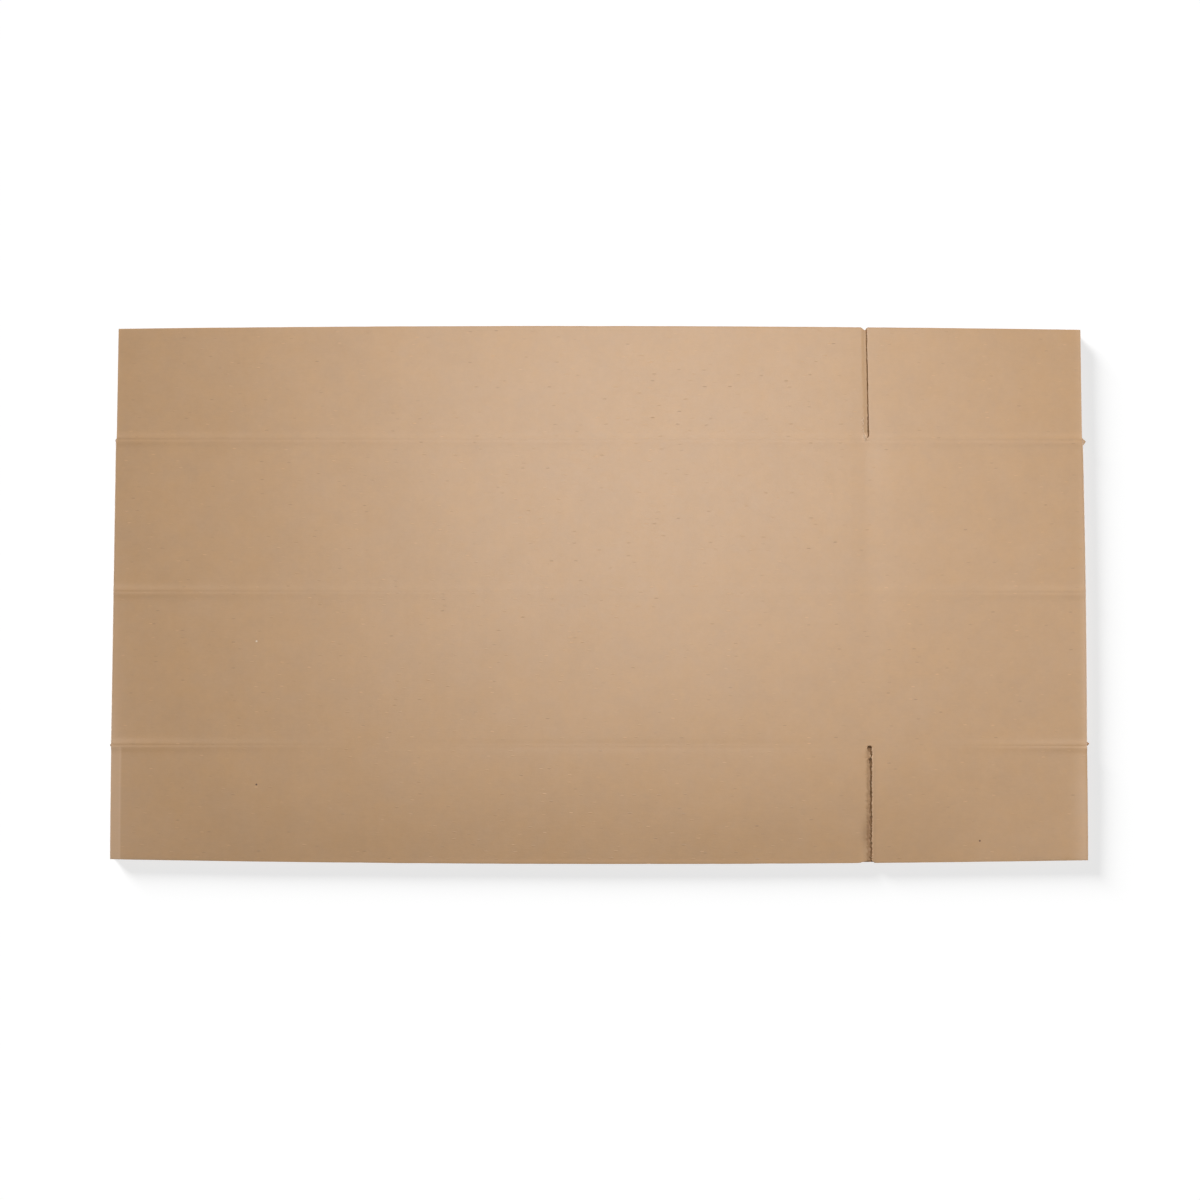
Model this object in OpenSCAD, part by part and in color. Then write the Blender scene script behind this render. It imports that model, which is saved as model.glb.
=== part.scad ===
// Slotted shipping carton, folded flat: a glued four-panel sleeve with eight hinged flaps.
// It lies on its back layer. X runs along the flap scores, Y along the box height, Z up.

/* [Panels] */
// Long panel, from one upright crease to the next
long_panel = 501; // [300:1:700]
// Short panel, from one upright crease to the next
short_panel = 144; // [110:1:220]
// Height of the box wall, from flap score to flap score
body_height = 203; // [180:1:320]
// Depth of every flap, from its score to its cut edge
flap_depth = 76; // [40:1:86]

/* [Board] */
// Thickness of the board
board_t = 3; // [1.5:0.1:5]
// Width of the slots between the flaps
slot_w = 3.6; // [2:0.1:8]
// Corner cut off each flap at a slot's mouth
mouth_cut = 1.2; // [0.2:0.1:3]

/* [Scores] */
// Width of the pressed score lines
score_w = 6; // [3:0.5:10]
// Depth of the pressed score lines
score_depth = 0.6; // [0.2:0.1:1]
// Width of the flattened upright crease on the face of each layer
crease_w = 9; // [4:0.5:14]
// Depth of the flattened upright crease
crease_depth = 0.4; // [0.2:0.1:1]
// Gap left between a flap and the sleeve along their score
score_gap = 0.1; // [0.05:0.05:0.3]

/* [Glued joint] */
// Width of the glued tab
tab_w = 32; // [20:1:50]
// Thickness of the tab, crushed by the folding
tab_t = 1.6; // [0.8:0.1:3]
// How much each end of the tab is cut back at its free edge
tab_taper = 8; // [2:1:20]
// Play between the tab and the layer above it
tab_play = 0.2; // [0.1:0.1:1]
// Gap at the seam, where the short panel's cut edge stops
seam_gap = 1.5; // [0.5:0.1:4]
// Run of the bend that lifts the long panel's edge into the tab
tab_bend = 4; // [2:0.5:8]

/* [Folded edges] */
// How far the torn nubs at the slot ends stand out of the folded edges
nub_out = 1.5; // [0.5:0.1:3]
// Length of a nub along the folded edge
nub_len = 5; // [2:0.5:10]
// Thickness of a nub
nub_t = 1.6; // [0.8:0.1:3]

/* [Hidden] */
$fn = 64;

// Overshoot of every cut past the face that it opens
over = 1;
// Brown of the unbleached board
kraft = [0.78, 0.65, 0.52];

flat_w = long_panel + short_panel;
half_w = flat_w / 2;
half_h = body_height / 2;
layer_gap = tab_t + tab_play;
stack_t = 2 * board_t + layer_gap;
fold_r = stack_t / 2;

// Upright crease of the front layer, and the glued seam of the back layer
crease_x = long_panel - half_w;
seam_x = short_panel - half_w;

// Bar along X with the given outline in Y and Z
module bar_along_x(outline) {
    rotate([90, 0, 90])
        linear_extrude(height = flat_w + 2 * nub_out + 2 * over, center = true)
            polygon(outline);
}

// Bar along Y, as long as the body is high, with its outline in X and Z
module bar_along_y(length) {
    rotate([90, 0, 0])
        linear_extrude(height = length, center = true)
            children();
}

// Turns a feature of the front layer into the same feature of the back layer
module on_back() {
    translate([0, 0, stack_t])
        rotate([0, 180, 0])
            children();
}

// Turns a feature of the top edge into the same feature of the bottom edge
module on_bottom() {
    mirror([0, 1, 0])
        children();
}

// The three pressed lines across the front: the flap scores and the one at half height
module front_score_cuts() {
    for (y = [-half_h, 0, half_h])
        translate([0, y, stack_t])
            bar_along_x([
                [-score_w / 2, 0],
                [0, -score_depth],
                [score_w / 2, 0],
                [score_w / 2, over],
                [-score_w / 2, over]
            ]);
}

module score_cuts() {
    front_score_cuts();
    on_back() front_score_cuts();
}

// Flat bar outline with fully rounded ends, centred on the middle of the stack
module rounded_bar(length, height) {
    translate([0, fold_r]) {
        square([length - height, height], center = true);
        for (side = [-1, 1])
            translate([side * (length - height) / 2, 0])
                circle(d = height);
    }
}

// Flattened upright crease, a shallow valley in the front face
module crease_notch() {
    polygon([
        [crease_x - crease_w / 2, stack_t],
        [crease_x, stack_t - crease_depth],
        [crease_x + crease_w / 2, stack_t],
        [crease_x + crease_w / 2, stack_t + over],
        [crease_x - crease_w / 2, stack_t + over]
    ]);
}

// Seam in the back face: the short panel's cut edge beside the bend of the tab
module seam_notch() {
    polygon([
        [seam_x - seam_gap / 2, -over],
        [seam_x - seam_gap / 2, board_t],
        [seam_x + seam_gap / 2, board_t],
        [seam_x + seam_gap / 2 + tab_bend, 0],
        [seam_x + seam_gap / 2 + tab_bend, -over]
    ]);
}

// Section through the four panels, with both folded edges
module sleeve_section() {
    difference() {
        rounded_bar(flat_w, stack_t);
        rounded_bar(flat_w - 2 * board_t, layer_gap);
        crease_notch();
        seam_notch();
    }
}

// Tab of the back long panel, glued on the inside of the back short panel
module glue_tab() {
    root_x = seam_x + seam_gap / 2 + tab_bend;
    tip_x = seam_x - tab_w;
    translate([0, 0, board_t])
        linear_extrude(height = tab_t)
            polygon([
                [root_x, -half_h],
                [root_x, half_h],
                [seam_x, half_h],
                [tip_x, half_h - tab_taper],
                [tip_x, -half_h + tab_taper],
                [seam_x, -half_h]
            ]);
}

// Torn bit of board that stands out of a folded edge at the slot's end
module nub() {
    root_x = half_w - board_t / 2;
    translate([0, 0, fold_r - nub_t / 2])
        linear_extrude(height = nub_t)
            polygon([
                [root_x, half_h],
                [half_w + nub_out / 2, half_h],
                [half_w + nub_out, half_h - nub_len / 3],
                [half_w, half_h - nub_len],
                [root_x, half_h - nub_len]
            ]);
}

module nubs() {
    for (side = [0, 1], end = [0, 1])
        mirror([side, 0, 0])
            mirror([0, end, 0])
                nub();
}

module sleeve() {
    color(kraft)
        difference() {
            union() {
                bar_along_y(body_height) sleeve_section();
                glue_tab();
                nubs();
            }
            score_cuts();
        }
}

// Top flap of the front layer between an outer edge and the slot, with the mouth's corner cut off
module front_flap(outer_x, slot_x) {
    inward = sign(outer_x - slot_x);
    near_y = half_h + score_gap;
    far_y = half_h + flap_depth;
    color(kraft)
        difference() {
            translate([0, 0, stack_t - board_t])
                linear_extrude(height = board_t)
                    polygon([
                        [outer_x, near_y],
                        [outer_x, far_y],
                        [slot_x + inward * mouth_cut, far_y],
                        [slot_x, far_y - mouth_cut],
                        [slot_x, near_y]
                    ]);
            front_score_cuts();
        }
}

module long_flap() {
    front_flap(-half_w, crease_x - slot_w / 2);
}

module short_flap() {
    front_flap(half_w, crease_x + slot_w / 2);
}

module front_top_long_flap() {
    long_flap();
}

module front_top_short_flap() {
    short_flap();
}

module front_bottom_long_flap() {
    on_bottom() long_flap();
}

module front_bottom_short_flap() {
    on_bottom() short_flap();
}

module back_top_long_flap() {
    on_back() long_flap();
}

module back_top_short_flap() {
    on_back() short_flap();
}

module back_bottom_long_flap() {
    on_bottom() on_back() long_flap();
}

module back_bottom_short_flap() {
    on_bottom() on_back() short_flap();
}

sleeve();
front_top_long_flap();
front_top_short_flap();
front_bottom_long_flap();
front_bottom_short_flap();
back_top_long_flap();
back_top_short_flap();
back_bottom_long_flap();
back_bottom_short_flap();
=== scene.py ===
"""Dresses a slotted shipping carton that lies folded flat, seen from straight above.

The board is built as bent, pressed and cut sheets: one folded sleeve, and eight flaps that bend
at their scores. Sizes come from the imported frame, in metres, and looks from the finishes below.
"""

import logging
import math
from dataclasses import dataclass, field
from enum import Enum, IntEnum
from functools import cached_property
from typing import Any, ClassVar, NamedTuple, Optional, Sequence

import bmesh
import bpy
import numpy as np
from bpy.types import Collection, Material, Mesh, Node, NodeOutputs, NodeSocket, NodeTree, Object, Scene
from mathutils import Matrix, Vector


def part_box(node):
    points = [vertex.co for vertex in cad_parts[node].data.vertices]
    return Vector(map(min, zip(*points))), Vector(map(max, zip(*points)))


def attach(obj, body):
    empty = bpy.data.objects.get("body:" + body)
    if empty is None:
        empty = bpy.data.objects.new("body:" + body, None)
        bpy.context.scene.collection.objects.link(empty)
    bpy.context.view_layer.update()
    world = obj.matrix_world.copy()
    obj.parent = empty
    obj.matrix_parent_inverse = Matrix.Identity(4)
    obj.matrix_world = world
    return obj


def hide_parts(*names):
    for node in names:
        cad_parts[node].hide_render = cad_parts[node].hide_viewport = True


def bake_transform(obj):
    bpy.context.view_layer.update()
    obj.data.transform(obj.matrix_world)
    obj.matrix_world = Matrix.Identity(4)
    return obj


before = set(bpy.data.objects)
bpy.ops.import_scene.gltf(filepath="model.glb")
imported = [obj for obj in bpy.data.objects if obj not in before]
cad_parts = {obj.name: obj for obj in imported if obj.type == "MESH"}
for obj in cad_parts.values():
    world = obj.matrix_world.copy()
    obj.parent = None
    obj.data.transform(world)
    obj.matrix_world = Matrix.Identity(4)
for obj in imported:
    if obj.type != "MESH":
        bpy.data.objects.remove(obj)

LOGGER = logging.getLogger("flat_carton")
# One millimetre in the script's metres
MM = 0.001
# Places closer together than this are one place
SAME_PLACE = 1e-9
# Points closer to an edge than this lie on it
ON_EDGE = 0.01 * MM


class Layer(Enum):
    """Which of the two board layers a flap belongs to."""

    FRONT = "front"
    BACK = "back"


class End(Enum):
    """Which open end of the sleeve a flap closes."""

    TOP = "top"
    BOTTOM = "bottom"


class Panel(Enum):
    """Which kind of panel a flap hangs on."""

    LONG = "long"
    SHORT = "short"


class Face(IntEnum):
    """Material slots of every board mesh."""

    OUTER = 0
    INNER = 1
    RIM = 2
    CORE = 3


def linear(red: int, green: int, blue: int) -> tuple[float, float, float, float]:
    """Turns a screen colour into the shader's own units.

    Args:
        red: Red, from 0 to 255.
        green: Green, from 0 to 255.
        blue: Blue, from 0 to 255.

    Returns:
        The colour as red, green, blue and alpha.
    """
    parts = []
    for value in (red, green, blue):
        share = value / 255
        parts.append(share / 12.92 if share <= 0.04045 else ((share + 0.055) / 1.055) ** 2.4)
    return (parts[0], parts[1], parts[2], 1.0)


def graded(start: float, stop: float, first: float, last: float, widest: float) -> np.ndarray:
    """Places along a line, close together at its ends and wider apart between them.

    Args:
        start: First place.
        stop: Last place, above the first.
        first: Step at the start.
        last: Step at the stop.
        widest: Widest step in between.

    Returns:
        The places in rising order, both ends included.
    """
    growth = 1.3
    low, high = [start], [stop]
    low_step, high_step = first, last
    while high[-1] - low[-1] > 1.5 * min(low_step, high_step):
        if low_step <= high_step:
            low.append(low[-1] + low_step)
            low_step = min(low_step * growth, widest)
        else:
            high.append(high[-1] - high_step)
            high_step = min(high_step * growth, widest)
    return np.array(low + high[::-1])


def chained(*runs: np.ndarray) -> np.ndarray:
    """Joins runs of places that share their end points.

    Args:
        *runs: Runs of places, each starting where the last one stops.

    Returns:
        One rising run without doubled places.
    """
    return np.concatenate([runs[0]] + [run[1:] for run in runs[1:]])


def bump(offset: np.ndarray, spread: float) -> np.ndarray:
    """Bell curve of height 1 with the given spread."""
    return np.exp(-((offset / spread) ** 2))


def ramp(value: np.ndarray, start: float, stop: float) -> np.ndarray:
    """Smooth step from 0 at start to 1 at stop."""
    share = np.clip((value - start) / (stop - start), 0.0, 1.0)
    return share * share * (3 - 2 * share)


@dataclass(frozen=True)
class CartonSizes:
    """Sizes of the flat carton, read from the frame, in metres."""

    half_width: float
    half_wall: float
    half_depth: float
    stack: float
    board: float
    slot_left: float
    slot_right: float

    @classmethod
    def from_frame(cls) -> "CartonSizes":
        """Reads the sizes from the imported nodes.

        Returns:
            The sizes of the carton.
        """
        long_low, long_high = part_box("front_top_long_flap")
        short_low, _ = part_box("front_top_short_flap")
        _, sleeve_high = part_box("sleeve")
        return cls(
            half_width=-long_low.x,
            half_wall=sleeve_high.y,
            half_depth=long_high.y,
            stack=sleeve_high.z,
            board=long_high.z - long_low.z,
            slot_left=long_high.x,
            slot_right=short_low.x,
        )

    @property
    def crease_x(self) -> float:
        """Upright crease of the front layer."""
        return (self.slot_left + self.slot_right) / 2

    @property
    def seam_x(self) -> float:
        """Glued seam of the back layer, which is the front layer turned over."""
        return -self.crease_x

    @property
    def fold_radius(self) -> float:
        """Radius of the folded edges."""
        return self.stack / 2

    @property
    def flap_depth(self) -> float:
        """Depth of a flap from its score to its cut edge."""
        return self.half_depth - self.half_wall


@dataclass(frozen=True)
class BoardMake:
    """How the board is folded, cut and creased, in metres."""

    liner: float = 0.38 * MM
    flute_pitch: float = 6.4 * MM
    flute_paper: float = 0.25 * MM
    open_cut: float = 2.6 * MM
    side_cut: float = 0.8 * MM
    seam_cut: float = 0.5 * MM
    score_cut: float = 0.3 * MM
    corner_cut: float = 0.15 * MM
    end_roll: float = 0.2 * MM
    side_roll: float = 0.04 * MM
    roll_run: float = 0.5 * MM
    slot_roll_run: float = 0.4 * MM
    end_rough: float = 0.025 * MM
    side_rough: float = 0.02 * MM
    rough_run: float = 0.8 * MM
    slot_run: float = 3.0 * MM
    mouth_run: float = 9.0 * MM
    ear: float = 7.0 * MM
    tuck: float = 4.0 * MM
    tab_width: float = 32.0 * MM
    tab_thickness: float = 1.6 * MM
    tab_taper: float = 8.0 * MM
    tab_play: float = 0.02 * MM
    tab_root: float = 0.5 * MM
    tab_bend: float = 4.0 * MM
    seam_gap: float = 1.5 * MM
    seam_ear: float = 6.0 * MM
    fold_bulge: float = 0.3 * MM
    right_bulge: float = 0.6 * MM
    fold_squareness: float = 5.5


class PaintedShadeMark(NamedTuple):
    """Stripe along a score painted lighter, above 0, or darker, below 0: painted light and shade of the
    pressed ridge.
    """

    share: float
    place: float
    spread: float


@dataclass(frozen=True)
class ScoreRelief:
    """Pressed line: a broad, low ridge with a fine groove along its top, in metres."""

    ridge: float = 0.30 * MM
    ridge_spread: float = 3.2 * MM
    groove: float = 0.10 * MM
    groove_spread: float = 0.8 * MM
    shift: float = -0.2 * MM
    # Painted light on the ridge's upper side and painted shade in the groove and below the ridge
    marks: tuple[PaintedShadeMark, ...] = (
        PaintedShadeMark(0.18, 3.4 * MM, 1.8 * MM),
        PaintedShadeMark(0.1, -0.9 * MM, 0.8 * MM),
        PaintedShadeMark(-0.12, 0.6 * MM, 0.7 * MM),
        PaintedShadeMark(-0.1, -3.6 * MM, 1.8 * MM),
    )

    def height(self, offset: np.ndarray) -> np.ndarray:
        """Height of the pressed line over the plain face.

        Args:
            offset: Distance from the score, positive towards the top.

        Returns:
            Height at each distance.
        """
        away = offset - self.shift
        return self.ridge * bump(away, self.ridge_spread) - self.groove * bump(away, self.groove_spread)

    def wear_and_shade(self, offset: np.ndarray) -> np.ndarray:
        """Painted light on the ridge's upper side, and painted shade in the groove and below the ridge.

        Args:
            offset: Distance from the score, positive towards the top.

        Returns:
            Painted share at each distance, from -1 to 1.
        """
        away = offset - self.shift
        return sum(mark.share * bump(away - mark.place, mark.spread) for mark in self.marks)


@dataclass(frozen=True)
class Press:
    """How hard a line was pressed along its length, strongest at its ends."""

    place: float
    left: float
    middle: float
    right: float
    left_run: float
    right_run: float

    def force(self, x: np.ndarray, half_width: float) -> np.ndarray:
        """Force along the line.

        Args:
            x: Places along the line.
            half_width: Half of the carton's width.

        Returns:
            Force at each place. It is below 0 where the line is a valley.
        """
        from_left = np.exp(-np.clip(half_width + x, 0.0, None) / self.left_run)
        from_right = np.exp(-np.clip(half_width - x, 0.0, None) / self.right_run)
        return self.middle + self.left * from_left + self.right * from_right


@dataclass(frozen=True)
class FaceWearAndShade:
    """How the front face is made paler, above 0, or darker, below 0, by wear and by painted light and
    shade. Lengths are in metres.
    """

    sizes: CartonSizes
    x: np.ndarray
    y: np.ndarray
    band: float
    band_blur: float = 0.3 * MM
    # Painted light along the crushed band at the left of the bottom flaps: the band, its edge line and a
    # glow near the left edge
    band_painted_light: float = 1.1
    line_painted_light: float = 0.6
    line_shift: float = 0.2 * MM
    line_spread: float = 0.6 * MM
    glow_painted_light: float = 0.45
    glow_run: float = 11 * MM
    # Painted light along the curled right side of the bottom flaps
    curl_painted_light: float = 2.1
    curl_least: float = 0.6
    curl_width: float = 15 * MM
    curl_power: float = 1.95
    # Painted shade at the right cut edge of the bottom flaps
    rim_painted_shade: float = 3.0
    rim_run: float = 0.95 * MM
    fold_pale: float = 0.9
    left_fold_run: float = 1.8 * MM
    left_fold_glow: float = 7 * MM
    right_fold_run: float = 1.6 * MM
    # Painted shade at the upper left and painted light at the lower left
    left_painted_gradient: float = 0.35
    left_lean_run: float = 30 * MM
    # Painted shade in the middle of the bottom flaps and painted light at their right end
    flap_painted_shade: float = 0.32
    flap_painted_light: float = 0.2
    top_end_pale: float = 0.2
    bottom_end_pale: float = 0.3
    end_spread: float = 1.2 * MM
    torn_pale: float = 2.2
    curled_pale: float = 0.4

    @property
    def from_left(self) -> np.ndarray:
        """Distance from the left edge."""
        return self.x + self.sizes.half_width

    @property
    def from_right(self) -> np.ndarray:
        """Distance from the right edge."""
        return self.sizes.half_width - self.x

    def _below(self, start: float, stop: float) -> np.ndarray:
        """Rises from 0 to 1 between two distances below the bottom score."""
        return ramp(-self.y, self.sizes.half_wall + start, self.sizes.half_wall + stop)

    def share(self) -> np.ndarray:
        """Adds up the wear and the painted light and shade of the sides, the panels and the cut edges.

        Returns:
            Paler or darker share at each place.
        """
        on_flaps = self._below(0.4 * MM, 2.5 * MM)
        sides = on_flaps * self._flap_sides() + (1 - on_flaps) * self._folds()
        return sides + self._panels() + self._cut_edges()

    def _flap_sides(self) -> np.ndarray:
        """Painted light along the crushed band at the left of the bottom flaps and along their curled
        right side, and painted shade at their right cut edge.

        Returns:
            Paler or darker share at each place.
        """
        # Painted light along the crushed band at the left
        band = 1 - ramp(self.from_left, self.band - self.band_blur, self.band + self.band_blur)
        line = bump(self.from_left - self.band + self.line_shift, self.line_spread)
        glow = np.exp(-self.from_left / self.glow_run)
        # Painted light along the curled right side
        curl = np.clip(1 - self.from_right / self.curl_width, 0.0, 1.0) ** self.curl_power
        curl = curl * (self.curl_least + (1 - self.curl_least) * self._below(8 * MM, 35 * MM))
        # Painted shade at the right cut edge
        rim = np.exp(-np.clip(self.from_right, 0.0, None) / self.rim_run)
        left = self.band_painted_light * band + self.line_painted_light * line + self.glow_painted_light * glow
        return left + self.curl_painted_light * curl - self.rim_painted_shade * rim

    def _folds(self) -> np.ndarray:
        """Pale rims of the folded edges, stronger towards the bottom.

        Returns:
            Rubbed share at each place.
        """
        lower = ramp(-self.y, -90 * MM, 60 * MM)
        glow = 0.55 * lower + 0.6 * ramp(-self.y, 30 * MM, 90 * MM)
        glow = glow * np.exp(-self.from_left / self.left_fold_glow)
        left = np.exp(-self.from_left / self.left_fold_run) + glow
        right = (1.4 + 1.3 * lower) * np.exp(-self.from_right / self.right_fold_run)
        return self.fold_pale * (left + right)

    def _panels(self) -> np.ndarray:
        """Slow change of tone standing in for the lamps' falloff: painted shade at the upper left and in
        the middle of the bottom flaps, painted light at the lower left and at the right end of the
        bottom flaps.

        Returns:
            Paler or darker share at each place.
        """
        half, depth = self.sizes.half_width, self.sizes.half_depth
        # Painted shade at the upper left and painted light at the lower left
        lean = self.left_painted_gradient * np.exp(-self.from_left / self.left_lean_run) * self.y / depth
        inside = ramp(self.x, -0.9 * half, -0.75 * half) * ramp(-self.x, -0.84 * half, -0.62 * half)
        # Painted shade in the middle of the bottom flaps
        darker = self.flap_painted_shade * inside * self._below(15 * MM, self.sizes.flap_depth - 6 * MM)
        # Painted light at the right end of the bottom flaps
        painted_light_end = ramp(self.x, 0.66 * half, 0.84 * half)
        return self.flap_painted_light * painted_light_end * self._below(25 * MM, 62 * MM) - lean - darker

    def _cut_edges(self) -> np.ndarray:
        """Pale cut ends, torn paper at the top slot's end and the curled corner at the bottom slot.

        Returns:
            Rubbed share at each place.
        """
        y, wall, depth = self.y, self.sizes.half_wall, self.sizes.half_depth
        top = self.top_end_pale * bump(y - depth, self.end_spread)
        bottom = self.bottom_end_pale * bump(y + depth, self.end_spread)
        beside = self.sizes.slot_left - self.x
        torn = bump(beside + 0.3 * MM, 1.4 * MM) * bump(y - wall - 2.2 * MM, 2.2 * MM)
        curled = bump(beside - 3.4 * MM, 1.3 * MM) * bump(y + depth - 2.5 * MM, 3.5 * MM)
        return top + bottom + self.torn_pale * torn + self.curled_pale * curled


@dataclass(frozen=True)
class FaceRelief:
    """Hills and valleys of the outer face of one layer, in metres."""

    sizes: CartonSizes
    score: ScoreRelief = field(default_factory=ScoreRelief)
    crease: float = 0.32 * MM
    crease_spread: float = 9.5 * MM
    crease_fade: float = 0.75
    left_dip: float = 0.35 * MM
    left_band: float = 6.9 * MM
    right_bead: float = 0.4 * MM
    right_band: float = 8.0 * MM
    sway: float = 0.05 * MM
    waves: tuple[tuple[float, float, float, float], ...] = (
        (61.0, 23.0, 0.4, 1.0),
        (-27.0, 71.0, 2.1, 0.7),
        (143.0, -52.0, 4.0, 0.3),
    )
    crushed_mouth: float = 0.0
    # Painted shade in the crushed corner beside the bottom slot's mouth
    mouth_painted_shade: float = 1.35
    worn_and_shaded: bool = False

    def height(self, x: np.ndarray, y: np.ndarray) -> np.ndarray:
        """Height of the face over the flat layer.

        Args:
            x: Places along the scores, as on the front layer.
            y: Places along the box height.

        Returns:
            Height at each place.
        """
        total = self._sway(x, y)
        for press in self._presses():
            total = total + press.force(x, self.sizes.half_width) * self.score.height(y - press.place)
        total = total + self._crease(x, y) + self._side_bands(x, y)
        return total - self.crushed_mouth * self._mouth(x, y)

    def wear_and_shade(self, x: np.ndarray, y: np.ndarray) -> np.ndarray:
        """How much paler or darker the face is, by wear and by painted light and shade.

        Args:
            x: Places along the scores, as on the front layer.
            y: Places along the box height.

        Returns:
            Share at each place, above 0 where it is paler.
        """
        if not self.worn_and_shaded:
            return np.zeros(np.broadcast(x, y).shape)
        total = FaceWearAndShade(self.sizes, x, y, self.left_band).share()
        for press in self._presses():
            total = total + press.force(x, self.sizes.half_width) * self.score.wear_and_shade(y - press.place)
        # Painted shade in the crushed corner beside the bottom slot's mouth
        return total - self.mouth_painted_shade * self._mouth(x, y)

    def _presses(self) -> tuple[Press, ...]:
        """Gives the three pressed lines across the face.

        Returns:
            The bottom score, the line at half height and the top score.
        """
        wall = self.sizes.half_wall
        return (
            Press(-wall, 2.6, -0.3, 2.2, 80 * MM, 60 * MM),
            Press(0.0, 2.1, 0.05, 1.6, 80 * MM, 65 * MM),
            Press(wall, 1.45, 0.5, 1.7, 75 * MM, 65 * MM),
        )

    def _sway(self, x: np.ndarray, y: np.ndarray) -> np.ndarray:
        """Slow waviness that any board picks up."""
        turns = [(share, across * x + up * y + phase) for across, up, phase, share in self.waves]
        return self.sway * sum(share * np.sin(turn) for share, turn in turns)

    def _crease(self, x: np.ndarray, y: np.ndarray) -> np.ndarray:
        """Shallow valley of the flattened upright crease, deeper towards the top.

        Args:
            x: Places along the scores.
            y: Places along the box height.

        Returns:
            Height at each place, below 0 in the valley.
        """
        wall = self.sizes.half_wall
        fade = 1 - self.crease_fade * ramp(np.abs(y), wall - 6 * MM, wall + 18 * MM)
        lean = 0.62 + 0.5 * y / wall
        return -self.crease * fade * lean * bump(x - self.sizes.crease_x, self.crease_spread)

    def _side_bands(self, x: np.ndarray, y: np.ndarray) -> np.ndarray:
        """Crushed band that slopes to the left edge, and a curl up to the right one.

        Args:
            x: Places along the scores.
            y: Places along the box height.

        Returns:
            Height of both, which are strong on the bottom flaps and weak elsewhere.
        """
        share = 0.12 + 0.88 * ramp(-y, self.sizes.half_wall - 1 * MM, self.sizes.half_wall + 4 * MM)
        from_left = x + self.sizes.half_width
        from_right = self.sizes.half_width - x
        dip = np.clip(1 - from_left / self.left_band, 0.0, 1.0)
        curl = np.clip(1 - from_right / self.right_band, 0.0, 1.0) ** 1.5
        return share * (self.right_bead * curl - self.left_dip * dip)

    def _mouth(self, x: np.ndarray, y: np.ndarray) -> np.ndarray:
        """Crushed corner beside the mouth of the bottom slot.

        Args:
            x: Places along the scores.
            y: Places along the box height.

        Returns:
            How far each place is crushed, from 0 to 1.
        """
        from_slot = self.sizes.slot_left - x
        from_end = y + self.sizes.half_depth
        spot = bump(from_end - 17.5 * MM, 8.5 * MM) * (x <= self.sizes.crease_x + 0.2 * MM)
        return spot * (1 - ramp(from_slot, 2.4 * MM, 3.6 * MM))


class NodeDraft:
    """Short way to write a node tree."""

    def __init__(self, tree: NodeTree) -> None:
        """Starts on an empty tree.

        Args:
            tree: Tree that the nodes go into.
        """
        self.tree = tree
        tree.nodes.clear()

    def add(self, kind: str, inputs: Optional[dict[Any, Any]] = None, **settings: Any) -> Node:
        """Adds a node.

        Args:
            kind: Blender's name of the node type.
            inputs: Socket name or number to a value, or to an output socket to link from.
            **settings: Other properties of the node.

        Returns:
            The new node.
        """
        node = self.tree.nodes.new(kind)
        for name, value in settings.items():
            setattr(node, name, value)
        for key, value in (inputs or {}).items():
            if isinstance(value, NodeSocket):
                self.tree.links.new(value, node.inputs[key])
            else:
                node.inputs[key].default_value = value
        return node

    def math(self, operation: str, first: Any, second: Any = 0.0, third: Any = 0.0) -> NodeSocket:
        """Adds a sum and gives its result.

        Args:
            operation: Blender's name of the operation.
            first: Value or socket.
            second: Value or socket.
            third: Value or socket.

        Returns:
            The output socket.
        """
        node = self.add("ShaderNodeMath", {0: first, 1: second, 2: third}, operation=operation)
        return node.outputs[0]

    def spread(
        self,
        value: NodeSocket,
        source: tuple[float, float],
        target: tuple[float, float],
        smooth: bool = False,
    ) -> NodeSocket:
        """Maps one range of values on another.

        Args:
            value: Socket to read.
            source: Range that is read.
            target: Range that comes out.
            smooth: Whether the ends are eased.

        Returns:
            The output socket.
        """
        node = self.add(
            "ShaderNodeMapRange",
            {
                "Value": value,
                "From Min": source[0],
                "From Max": source[1],
                "To Min": target[0],
                "To Max": target[1],
            },
            interpolation_type="SMOOTHSTEP" if smooth else "LINEAR",
        )
        return node.outputs["Result"]

    def mix(self, share: Any, first: Any, second: Any, blend: str = "MIX") -> NodeSocket:
        """Mixes two colours.

        Args:
            share: How much of the second one, as a value or a socket.
            first: Colour or socket.
            second: Colour or socket.
            blend: Blender's name of the mixing rule.

        Returns:
            The output socket.
        """
        sockets = {0: share, 6: first, 7: second}
        node = self.add("ShaderNodeMix", sockets, data_type="RGBA", blend_type=blend)
        return node.outputs[2]


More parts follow.
